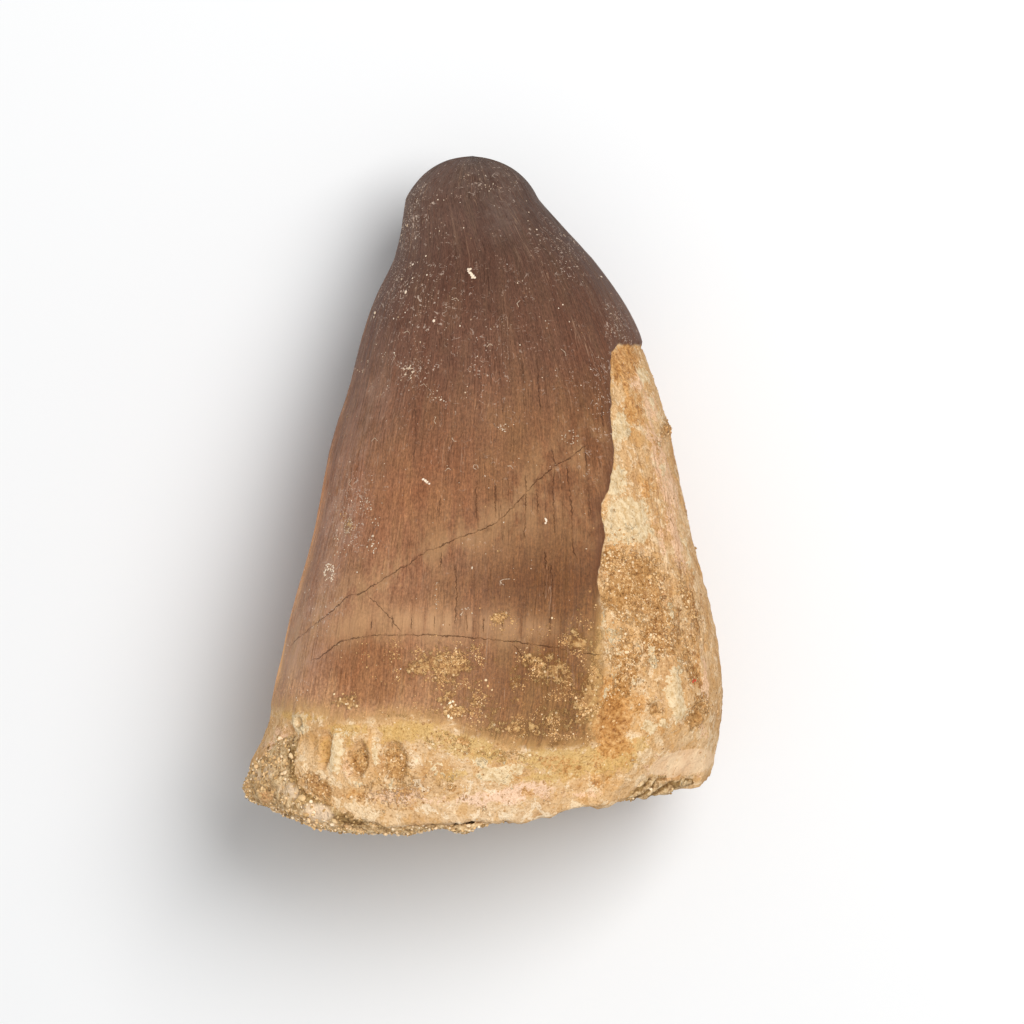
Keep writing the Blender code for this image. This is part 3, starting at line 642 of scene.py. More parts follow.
def tooth_masks(grid):
    """Named values for the shader at each point of the grid."""
    column, row, shown, base = grid.column, grid.row, grid.facing, grid.base
    crack_a, strong_a = nearest_line(column, row, [CRACK_A, CRACK_D], HAIRLINES[LOWER_HAIRLINES:])
    crack_b, strong_b = nearest_line(column, row, [CRACK_B], HAIRLINES[:LOWER_HAIRLINES])
    crack_c, strong_c, _ = line_distance(column, row, CRACK_C)
    # how much each pit's floor is darkened, more for deeper pits: its sandy fill, and partly painted shade of
    # the hollow
    pits = np.zeros(column.shape)
    for *place, depth, _ in PITS:
        away = oval(column, row, *place) + 0.12 * field(base, 0.7, place[1])
        pits = np.maximum(pits, step(1.15, 0.75, away) * min(1.0, depth * 2.2))
    halo = blobs(column, row, HALO)
    for strength, line, reach in ((1.0, CRACK_A, 1.3), (0.6, CRACK_B, 0.6)):
        halo = np.maximum(halo, strength * np.exp(-((line_distance(column, row, line)[2] / reach) ** 2)))
    level = grid.normal[..., 2]
    # a band on the steep left flank near the outline, placed by the surface's slope
    keel = step(0.27, 0.12, level) * step(-0.20, 0.0, level) * step(120, 150, np.degrees(grid.turn))
    keel = keel * step(6, 12, grid.along) * step(39.5, 29, grid.along)
    keel = keel * np.clip(0.75 + 0.9 * field(base, 1.6, 26, (1, 3, 1)), 0, 1)

    def stains(ovals, hidden=0.0):
        return blobs(column, row, ovals) * shown + hidden * (1 - shown)

    ring = np.abs(field(base, 6.0, 21))
    masks = {
        "crack": (crack_a, crack_b, crack_c),
        "crack_strength": (strong_a * shown, strong_b * shown, strong_c * shown),
        "stain": (stains(CREAM, 0.5 * ring), stains(OCHRE, 0.45), stains(PINK, 0.3 * ring)),
        "dirt": (stains(SANDY, 0.45), stains(YELLOW, 0.4), stains(CROWN_SAND)),
        "tone": (stains(BAND), stains(BROWN), stains(GREY_AND_SHEEN)),
        "marks": (pits * shown, halo * shown, keel),
        "film": (stains(DUST_AND_SHEEN, 0.1), stains(MAUVE), facet_share(column, row) * shown),
        "flow": (np.cos(grid.turn) * FLOW_RADIUS, np.sin(grid.turn) * FLOW_RADIUS, grid.along),
    }
    return {"enamel": grid.enamel, **{key: np.stack(values, -1) for key, values in masks.items()}}


BROKEN_WALL = 3.1  # mm from the outer surface to the hollow
THIN_WALL = 0.72  # share of that on the lip and tongue sides
BREAK_RISE = 0.45  # mm that the break slants up towards the hollow
HOLLOW_TOP = 8.0
HOLLOW_TAPER = 0.62


def broken_rings(grid, rim):
    """Rings of points over the broken face from the rim inwards, then up the hollow's wall."""
    centre = grid.measure.axis(grid.rims)
    mouth = grid.rims + BREAK_RISE
    wall = BROKEN_WALL * blend(THIN_WALL, 1.0, np.abs(np.cos(grid.turns)))
    wall = (wall / np.linalg.norm(rim - centre, axis=-1))[:, None]
    rings = []
    for share in np.arange(1, BREAK_ROWS + 1) / BREAK_ROWS:
        dish = 0.25 * math.sin(math.pi * min(1, share * 1.4) / 2)
        ring = rim + (centre - rim) * wall * share
        ring[:, 1] = ROOT_Y + blend(grid.rims, mouth, share) - dish
        rough = 0.12 * field(ring, 0.7, 31) + 0.07 * field(ring, 0.35, 32)
        ring[:, 1] += rough * math.sin(math.pi * share) * 1.2
        rings.append(ring)
    for share in np.arange(1, HOLLOW_ROWS + 1) / HOLLOW_ROWS:
        along = blend(mouth, np.maximum(HOLLOW_TOP, mouth + 1.1), share)
        inside = (1 - wall) * blend(1.0, HOLLOW_TAPER, share * share)
        rings.append(grid.measure.axis(along) + (rim - centre) * inside)
    return np.stack(rings)


def make_tooth(material):
    grid = ToothGrid()
    outer = grid.base + grid.normal * tooth_relief(grid)[..., None]
    outer[..., 2] = np.maximum(outer[..., 2], 0.0)
    inner = broken_rings(grid, outer[-1])
    inner[..., 2] = np.maximum(inner[..., 2], 0.0)
    points = np.concatenate([outer, inner])
    rows, columns = points.shape[:2]
    poles = grid.measure.axis([TIP, HOLLOW_TOP + 0.3])
    faces = grid_faces(rows, columns, rows * columns, rows * columns + 1)
    attributes = {}
    for key, values in tooth_masks(grid).items():
        inside = np.repeat(values[-1:], len(inner), axis=0)
        if key == "enamel":
            inside[:] = -3.0
        ends = np.stack([values[0].mean(axis=0), inside[-1].mean(axis=0)])
        values = np.concatenate([values, inside]).reshape(rows * columns, *values.shape[2:])
        attributes[key] = np.concatenate([values, ends])
    points = np.concatenate([points.reshape(-1, 3), poles])
    tooth = mesh_object("fossil_tooth", points, faces, attributes)
    tooth.data.materials.append(material)
    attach(tooth, "root")
    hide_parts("tooth")
    return grid, outer


# ---- The matrix -----------------------------------------------------------------------------------------
# olive-dark patches of the crust; along its inner edge by the wall they are partly painted shade of the
# recess
MATRIX_DARK_AND_SHADE = [
    (300, 772, 12, 34, -14, 1.2), (318, 792, 26, 12, 24, 1.2), (345, 818, 26, 8, 12, 0.7),
    (272, 762, 10, 14, 0, 0.4), (256, 790, 8, 8, 0, 0.2), (300, 748, 8, 12, 0, 0.9),
]
MATRIX_PALE = [
    (318, 813, 16, 9, 12), (268, 770, 8, 10, 0, 0.6), (292, 790, 16, 12, 0, 0.6), (256, 776, 6, 8, 0, 0.7),
    (300, 822, 18, 6, 10, 0.6),
]
MATRIX_ORANGE = [
    (266, 798, 9, 7, 0), (246, 776, 5, 14, 0), (282, 812, 16, 6, 20, 0.7), (470, 816, 20, 5, 0, 0.8),
    (262, 740, 6, 18, 10, 0.8), (672, 778, 22, 4, -12, 0.8), (340, 826, 20, 4, 5, 0.6),
]
GROW = 0.24  # mm that the rock swells near the wall, over the gap that the CAD keeps
LEFT_EDGE = -15.45  # mm, past which the matrix is pressed in to a blunt corner


CRUST_SKIN = [(116, 1.3), (128, 1.15), (140, 1.05), (150, 1.25), (155, 1.6), (160, 2.2), (170, 2.4),
              (180, 2.9), (190, 3.0), (202, 2.3)]  # turn in degrees, along at the lower edge
NOTCH_SKIN = [(3, 3.6), (10, 3.25), (16, 2.95), (22, 2.65), (28, 2.5), (36, 2.45), (42, 2.4)]
SKIN_ROWS = 16
SKIN_TURN = 0.6  # degrees between its columns
SKIN_LAP = 0.9  # mm that a skin reaches in under the sound wall
SKIN_SPREAD = 4.0  # degrees over which its upper edge is evened out


def wall_radii(grid, turn):
    """Distance of the root's outer surface from the axis beside the broken edge, at turns in degrees."""
    radii = np.linalg.norm(grid.base[-1] - grid.axis[-1], axis=-1) - ENAMEL_AT_ROOT
    return np.interp((turn - SHOWN[0]) % 360 + SHOWN[0], np.degrees(grid.turns), radii)


def break_distance(grid, turn, along):
    """Distance in mm from the broken edge, along the root's surface; negative where the wall is missing."""
    edge_turn = np.arange(SHOWN[0], 340, 0.1)
    edge_along = np.interp(edge_turn, np.degrees(grid.turns), grid.rims)
    away = np.full(turn.shape, np.inf)
    for one_turn, one_along in zip(edge_turn, edge_along):
        away = np.minimum(away, np.hypot(np.radians(turn - one_turn) * RIM_REACH, along - one_along))
    below = along < np.interp(turn, edge_turn, edge_along)
    return np.where(below, -away, away)


def skin(grid, outline, rise):
    """A slab that carries the root's surface on across a broken place, `rise` mm above it."""
    turns = np.arange(outline[0][0], outline[-1][0], SKIN_TURN)
    rims = np.interp(turns, np.degrees(grid.turns), grid.rims)
    reach = int(SKIN_SPREAD / SKIN_TURN)
    tops = np.array([rims[max(0, i - reach):i + reach + 1].max() for i in range(len(turns))]) + SKIN_LAP
    bottoms = np.minimum(curve(outline, turns), tops - 0.5)
    along = tops[:, None] + (bottoms - tops)[:, None] * np.linspace(0, 1, SKIN_ROWS)
    turn = np.repeat(turns[:, None], SKIN_ROWS, axis=1)
    away = break_distance(grid, turn, along)
    outer = wall_radii(grid, turn) + rise * step(0.55, 0.0, away) - 0.35 * step(0.20, SKIN_LAP, away)
    outer -= 0.55 * step(0.7, 0.0, along - bottoms[:, None]) ** 2
    inner = outer - 0.25 - 2.3 * step(0.6, -0.3, away)
    radius = np.concatenate([outer, inner[:, ::-1]], axis=1)
    along = np.concatenate([along, along[:, ::-1]], axis=1)
    out = outward(np.radians(np.concatenate([turn, turn], axis=1)))
    points = grid.measure.axis(along) + out * radius[..., None]
    rows, columns = radius.shape
    ends = [points[0].mean(axis=0), points[-1].mean(axis=0)]
    faces = grid_faces(rows, columns, rows * columns, rows * columns + 1)
    return np.concatenate([points.reshape(-1, 3), ends]), faces


RIPPLE = 0.55  # mm between the ridges of the matrix in the notch
CRUST_TURNS = (112, 120, 196, 206)  # degrees: where a skin starts, is full, fades and ends
NOTCH_TURNS = (1, 5, 38, 46)
CORNER_SQUEEZE = 0.4
MARGIN = 0.25  # the matrix stays this near the CAD box


def notch_share(column, row):
    """1 in the notch at the lower right."""
    return step(1.25, 0.95, oval(column, row, *NOTCH))


def solid_matrix(grid):
    """The CAD matrix with its skins, remeshed finely: the object, its points and its normals."""
    points, faces = node_mesh("matrix")
    for outline, rise in ((CRUST_SKIN, 0.10), (NOTCH_SKIN, -0.12)):
        skin_points, skin_faces = skin(grid, outline, rise)
        faces = faces + [tuple(i + len(points) for i in face) for face in skin_faces]
        points = np.concatenate([points, skin_points])
    solid = mesh_object("fossil_matrix", points, faces)
    remesh = solid.modifiers.new("fine", "REMESH")
    remesh.mode = "VOXEL"
    remesh.voxel_size = MATRIX_VOXEL * MM
    coarse = solid.data
    mesh = bpy.data.meshes.new_from_object(solid.evaluated_get(bpy.context.evaluated_depsgraph_get()))
    solid.modifiers.clear()
    solid.data = mesh
    bpy.data.meshes.remove(coarse)
    place, out = np.empty((2, len(mesh.vertices) * 3))
    mesh.vertices.foreach_get("co", place)
    mesh.vertices.foreach_get("normal", out)
    return solid, place.reshape(-1, 3) / MM, out.reshape(-1, 3)


def matrix_height(grid, place, out, ripples):
    """How far each point of the matrix moves out, in mm."""
    tree = node_tree("tooth")
    gap = np.array([tree.find_nearest(Vector(p))[3] for p in place.tolist()])
    offset = place - grid.measure.axis(place[:, 1] - ROOT_Y)
    turn = np.degrees(np.arctan2(offset[:, 2], offset[:, 0])) % 360
    depth = wall_radii(grid, turn) - np.hypot(offset[:, 0], offset[:, 2])
    crust, notch = (step(start, full, turn) * step(end, fading, turn)
                    for start, full, fading, end in (CRUST_TURNS, NOTCH_TURNS))
    on_skin = np.maximum(crust, notch) * step(1.2, 0.5, depth)
    bare = GROW * step(0.75, 0.40, gap) - 0.10 * step(0.4, 0.8, gap)
    bare -= 0.22 * step(-0.3, -0.8, out[:, 1]) * (1 - crust)
    cells = np.array([noise.voronoi(Vector(p))[0][0] for p in (place / 0.42).tolist()])
    height = blend(bare, 0.0, on_skin) + 0.10 * field(place, 1.3, 41) + 0.08 * field(place, 0.55, 42)
    return height + 0.12 * (0.5 - cells) + step(0.2, 0.6, out[:, 2]) * 0.16 * ripples


def make_matrix(grid, material):
    solid, place, out = solid_matrix(grid)
    column, row = seen(place)
    wavy = (column * 0.60 + row * 0.80) * PIXEL + 0.45 * field(place, 1.5, 44)
    wave = np.sin(wavy * 2 * math.pi / RIPPLE)
    in_notch = notch_share(column, row)
    place = place + out * matrix_height(grid, place, out, in_notch * wave)[:, None]
    past = place[:, 0] < LEFT_EDGE
    place[:, 0] = np.where(past, blend(LEFT_EDGE, place[:, 0], CORNER_SQUEEZE), place[:, 0])
    place[:, 2] = np.maximum(place[:, 2], 0.02)
    low, high = (np.array(corner) / MM for corner in CAD_BOX)
    place = np.clip(place, low - MARGIN, high + MARGIN)
    mesh = solid.data
    mesh.vertices.foreach_set("co", (place * MM).ravel())
    # dark: the crust's olive patches with painted shade along its inner edge, and painted shade in the
    # troughs of the notch's ripples
    dark = np.maximum(blobs(column, row, MATRIX_DARK_AND_SHADE), 1.3 * in_notch * step(-0.2, -0.8, wave))
    masks = np.stack([dark, blobs(column, row, MATRIX_PALE), blobs(column, row, MATRIX_ORANGE)], -1)
    masks *= step(0.0, 0.3, out[:, 2])[:, None]
    add_attribute(mesh, "stain", masks)
    mesh.materials.clear()
    mesh.materials.append(material)
    mesh.shade_smooth()
    mesh.calc_loop_triangles()
    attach(solid, "root")
    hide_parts("matrix")
    return place, np.array([triangle.vertices[:] for triangle in mesh.loop_triangles])


# ---- Grains ---------------------------------------------------------------------------------------------
def ball():
    """Corners and faces of a 20-sided ball."""
    golden = (1 + math.sqrt(5)) / 2
    corners = []
    for a in (-1, 1):
        for b in (-golden, golden):
            corners += [(0, a, b), (a, b, 0), (b, 0, a)]
    corners = np.array(corners, float)
    faces = []
    for i in range(12):
        for j in range(i + 1, 12):
            for k in range(j + 1, 12):
                sides = [np.linalg.norm(corners[p] - corners[q]) for p, q in ((i, j), (j, k), (i, k))]
                if max(sides) < 2.01:
                    outward = np.cross(corners[j] - corners[i], corners[k] - corners[i]) @ corners[i]
                    faces.append((i, j, k) if outward > 0 else (i, k, j))
    return corners / np.linalg.norm(corners[0]), np.array(faces)


def grain_object(name, grains, material, slot, seed, flatness, sink):
    """One mesh of irregular grains, each pressed flat and sunk, by a share, into what it lies on."""
    places, normals, sizes, shades = grains
    random = np.random.RandomState(seed)
    corners, faces = ball()
    count = len(places)
    axes = np.linalg.qr(random.normal(size=(count, 3, 3)))[0]
    stretch = random.uniform(0.62, 1.25, (count, 1, 3))
    shape = corners[None] * stretch * (1 + random.uniform(-0.22, 0.22, (count, len(corners), 1)))
    shape = np.einsum("nij,nkj->nki", axes, shape) * sizes[:, None, None] / 2
    up = np.einsum("nki,ni->nk", shape, normals)
    shape -= up[..., None] * normals[:, None, :] * (1 - flatness)
    centre = places + normals * (sizes * (0.5 - sink) * flatness)[:, None]
    points = (shape + centre[:, None]).reshape(-1, 3)
    points[:, 2] = np.maximum(points[:, 2], 0.0)
    index = (faces[None] + len(corners) * np.arange(count)[:, None, None]).reshape(-1, 3)
    tint = np.repeat(shades, len(corners), axis=0)
    piece = mesh_object(name, points, index.tolist(), {"shade": tint})
    piece.data.shade_flat()
    piece.data.materials.append(material)
    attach(piece, "root")


def scatter(points, weights, count, seed):
    """Random places on a grid of points, by area times a weight, and the normals there."""
    random = np.random.RandomState(seed)
    down, across = grid_steps(points)
    flat = weights.ravel() * np.linalg.norm(np.cross(down, across), axis=-1).ravel()
    chosen = random.choice(len(flat), size=count, p=flat / flat.sum())
    u, v = random.uniform(-0.5, 0.5, (2, count, 1))
    points, down, across, normals = (values.reshape(-1, 3)[chosen]
                                     for values in (points, down, across, grid_normals(points)))
    return points + u * down + v * across, normals


def face_scatter(points, triangles, weight_of, count, seed):
    """Random places on a triangle mesh, by area times a weight that is given the middle and normal."""
    random = np.random.RandomState(seed)
    a, b, c = (points[triangles[:, k]] for k in range(3))
    cross = np.cross(b - a, c - a)
    area = np.linalg.norm(cross, axis=1) / 2
    normal = cross / (2 * area[:, None] + 1e-12)
    weights = area * weight_of((a + b + c) / 3, normal)
    chosen = random.choice(len(weights), size=count, p=weights / weights.sum())
    u, v = random.uniform(size=(2, count, 1))
    fold = u + v > 1
    u, v = np.where(fold, 1 - u, u), np.where(fold, 1 - v, v)
    places = a[chosen] * (1 - u - v) + b[chosen] * u + c[chosen] * v
    return places, normal[chosen]


def put_on(grid, outer, pixels):
    """Places on the side that shows, and the normals there, for some pixels of the photograph."""
    away_hidden = 1e6 * (grid.normal[..., 2] < 0.1)
    chosen = [np.argmin((grid.column - x) ** 2 + (grid.row - y) ** 2 + away_hidden) for x, y in pixels]
    normals = grid_normals(outer).reshape(-1, 3)[chosen]
    beside = np.array(pixels) - np.stack([grid.column.ravel()[chosen], grid.row.ravel()[chosen]], -1)
    move = beside * (PIXEL, -PIXEL)
    rise = -(move * normals[:, :2]).sum(axis=1) / normals[:, 2]
    return outer.reshape(-1, 3)[chosen] + np.column_stack([move, rise]), normals


FLAKES = [  # column, row, size in mm, lightness: pale flakes stuck to the enamel
    (468.5, 269.5, 0.22, 1), (470.2, 269.3, 0.2, 1), (468.5, 271.5, 0.2, 1), (470, 273, 0.22, 1),
    (471.5, 274.5, 0.22, 1), (473, 276, 0.24, 1), (474.5, 277.5, 0.22, 1), (472, 277.5, 0.16, 0.9),
    (406, 292, 0.26, 0.95), (434, 321, 0.22, 0.95), (426, 256, 0.14, 0.8), (427, 275, 0.14, 0.8),
    (423.5, 479.5, 0.2, 1), (425.5, 481, 0.26, 1), (427.5, 482.5, 0.28, 1), (429.5, 484, 0.22, 1),
    (546, 520, 0.3, 1), (545.5, 523, 0.2, 0.8), (375, 313, 0.26, 0.5), (374, 317, 0.22, 0.4),
    (472, 568, 0.2, 0.5), (441, 400, 0.2, 0.6), (409, 368, 0.2, 0.4), (413, 372, 0.2, 0.4),
    (405, 374, 0.18, 0.5), (411, 378, 0.16, 0.5), (520, 345, 0.14, 0.6), (372, 546, 0.2, 0.7),
    (373, 536, 0.18, 0.5),
]
THREADS = [  # pale hairs: their points, column and row
    [(500, 585), (500.5, 581), (503, 579.5), (506, 579), (510, 579)], [(500, 581), (502, 584), (504, 585)],
    [(476, 469), (473, 467.5), (474, 464.5), (477.5, 465), (478, 468)],
    [(452, 438), (454, 441), (457, 441)], [(501, 428), (504, 429.5), (506, 429)],
    [(566, 434), (564.5, 437)], [(571, 444), (574, 443.5)], [(445, 471), (448, 468), (451, 470)],
    [(436, 417), (434, 421), (436, 424)], [(508, 466), (511, 466), (513, 469)],
    [(420, 386), (424, 384), (427, 387)], [(561, 349), (565, 352), (566, 356)],
    [(404, 333), (408, 331), (410, 334)], [(520, 300), (517, 303), (519, 307)],
    [(452, 300), (456, 298), (459, 301)], [(393, 352), (396, 356), (394, 360)],
    [(487, 347), (490, 344), (493, 346)], [(372, 441), (375, 438), (378, 441)],
    [(352, 480), (349, 484), (352, 487)],
]
RED = 2.0  # third shade of a red grain
RED_SAND = [  # red grains of the root, laid out like FLAKES
    (694.5, 681.5, 0.26, 0.5), (696.5, 680.5, 0.24, 0.5), (695, 679.5, 0.16, 0.5),
]
PALE_SAND = [  # and pale grains among the sand on the enamel
    (450, 703, 0.22, 1), (453, 701.5, 0.24, 1), (451.5, 706, 0.22, 0.9), (455.5, 705, 0.18, 0.8),
    (448.5, 716, 0.22, 1), (451.5, 718, 0.22, 0.95), (446, 711, 0.16, 0.7), (458, 708, 0.18, 0.6),
    (334, 694, 0.18, 0.8), (340, 699, 0.2, 0.7), (346, 704, 0.18, 0.9), (352, 699, 0.2, 0.6),
    (338, 706, 0.18, 0.5), (357, 706, 0.18, 0.7), (343, 694, 0.16, 0.6), (349, 708, 0.16, 0.6),
    (488, 686, 0.2, 0.6), (486, 680, 0.18, 0.8), (492, 690, 0.16, 0.7), (552, 618, 0.16, 0.8),
]


CRUSTS = [  # patches of stuck flakes: column, row, half-width, half-height, flakes, lightness
    (330, 573, 5.5, 9.5, 54, 0.85), (349, 526, 4.5, 9, 40, 0.3), (366, 506, 6, 8, 18, 0.4),
    (372, 546, 5, 7, 12, 0.5), (378, 521, 8, 5, 8, 0.4), (340, 548, 8, 12, 14, 0.4),
    (436, 395, 7, 5, 9, 0.4), (408, 371, 6, 6, 18, 0.5), (570, 437, 9, 8, 22, 0.3),
    (505, 428, 9, 4, 14, 0.3), (466, 612, 7, 5, 14, 0.3), (437, 596, 2, 16, 12, 0.3),
    (362, 366, 7, 12, 10, 0.4),
]


def crust(at_column, at_row, wide, tall, count, lightness):
    """Small flakes crowded in an oval, more of them at its edge."""
    random = np.random.RandomState(at_column + at_row)
    reach, angle = random.uniform(0.1, 1.0, count) ** 0.45, random.uniform(0, 2 * math.pi, count)
    x, y = at_column + wide * reach * np.cos(angle), at_row + tall * reach * np.sin(angle)
    sizes = random.uniform(0.05, 0.07 + 0.14 * lightness, count)
    return list(zip(x, y, sizes, lightness * random.uniform(0.5, 1.15, count)))


def strand(points, size, lightness):
    """Small grains that overlap along a line of pixels."""
    points = np.array(points, float)
    steps = np.append(0, np.cumsum(np.linalg.norm(np.diff(points, axis=0), axis=1)))
    along = np.arange(0, steps[-1], 0.8)
    return [(x, y, size, lightness) for x, y in zip(np.interp(along, steps, points[:, 0]),
                                                    np.interp(along, steps, points[:, 1]))]


def grain_shades(random, count, dark, pale):
    """Three random numbers a grain: lightness, hue and redness, which is none up to 1."""
    shades = random.uniform(size=(count, 3))
    shades[:, 0] = np.clip(random.normal(0.5, 0.22, count), 0, 1)
    pick = random.uniform(size=count)
    shades[pick < dark, 0] *= 0.35
    shades[pick > 1 - pale, 0] = random.uniform(0.8, 1.0, (pick > 1 - pale).sum())
    return shades


def with_spots(grid, outer, grains, spots, hue, redness):
    """Adds grains at set pixels: column, row, size in mm and lightness."""
    shades = [(spot[3], hue, redness) for spot in spots]
    more = (*put_on(grid, outer, [spot[:2] for spot in spots]), [spot[2] for spot in spots], shades)
    return [np.concatenate(pair) for pair in zip(grains, more)]


# Each kind of grain: how many, the seed of their places (and one more for their shapes), middle size in mm
# and its spread, least and largest size, and the shares that are dark and pale.
GRAINS = {
    "matrix_grains": (9000, 11, 0.16, 0.36, 0.08, 0.42, 0.14, 0.16),
    "root_sand": (4600, 13, 0.100, 0.38, 0.05, 0.32, 0.10, 0.10),
    "crown_sand": (3200, 15, 0.068, 0.40, 0.04, 0.20, 0.15, 0.04),
    "dust": (420, 17, 0.055, 0.45, 0.03, 0.16, 0.0, 0.4),
}


def make_grains(grid, outer, matrix_points, matrix_triangles, matrix_sand, sand, specks):
    random = np.random.RandomState(5)
    column, row, shown = grid.column, grid.row, grid.facing

    def drawn(name, scattered, surface):
        count, seed, size, spread, low, high, dark, pale = GRAINS[name]
        places, normals = scattered(*surface, count, seed)
        sizes = np.clip(random.lognormal(math.log(size), spread, count), low, high)
        return places, normals, sizes, grain_shades(random, count, dark, pale)

    def matrix_weight(middle, normal):
        below = step(-0.2, -0.6, normal[:, 1])
        return (step(-0.1, 0.2, normal[:, 2]) + 0.35 * below) * (1 - 0.9 * notch_share(*seen(middle)))

    grains = drawn("matrix_grains", face_scatter, (matrix_points, matrix_triangles, matrix_weight))
    lightness = grains[3][:, 0]
    # grains darker on the olive patches and in the painted shade along the crust's inner edge
    lightness *= 1 - 0.45 * np.clip(blobs(*seen(grains[0]), MATRIX_DARK_AND_SHADE), 0, 1)
    lightness *= np.clip(1 + 0.30 * field(grains[0], 3.0, 55), 0.7, 1.15)
    grain_object("matrix_grains", grains, matrix_sand, "matrix", GRAINS["matrix_grains"][1] + 1, 0.75, 0.25)

    sandy = np.clip(blobs(column, row, SANDY), 0, 1) ** 1.7
    on_root = step(0.05, -0.15, grid.enamel) * (sandy * shown + 0.012 + 0.04 * (1 - shown))
    on_root = on_root * np.clip(0.5 + 0.9 * field(outer, 1.4, 51), 0, 1)
    on_crown = step(-0.3, 0.2, grid.enamel) * blobs(column, row, CROWN_SAND) * shown
    on_crown = on_crown * np.clip(0.1 + 1.5 * field(outer, 0.9, 52), 0, 1) ** 2
    # pale dust grains; on the tip's knob partly a painted sheen
    dusty = step(0.0, 0.3, grid.enamel) * (blobs(column, row, DUST_AND_SHEEN) * shown + 0.03)
    dusty = dusty * np.clip(0.30 + 1.0 * field(outer, 1.6, 53), 0, 1)
    flakes = FLAKES + [flake for line in THREADS for flake in strand(line, 0.055, 0.35)]
    flakes += [flake for patch in CRUSTS for flake in crust(*patch)]
    # name, share of the grains by place, lightness, set grains with their hue and redness, material, shape
    for name, share, gain, spots, hue, redness, material, shape in (
            ("root_sand", on_root, 0.85, RED_SAND, 0.5, RED, sand, (0.55, 0.4)),
            ("crown_sand", on_crown, 0.78, PALE_SAND, 0.2, 0.5, sand, (0.55, 0.4)),
            ("dust", dusty, 1.0, flakes, 0.5, 0.5, specks, (0.5, 0.25))):
        grains = drawn(name, scatter, (outer, share))
        grains[3][:, 0] *= gain
        grains = with_spots(grid, outer, grains, spots, hue, redness)
        grain_object(name, grains, material, "tooth", GRAINS[name][1] + 1, *shape)


# ---- Materials ------------------------------------------------------------------------------------------
def srgb(*screen):
    """A colour given as 0-255 screen values, as linear light."""
    values = [value / 255 for value in screen]
    return tuple(v / 12.92 if v <= 0.04045 else ((v + 0.055) / 1.055) ** 2.4 for v in values)


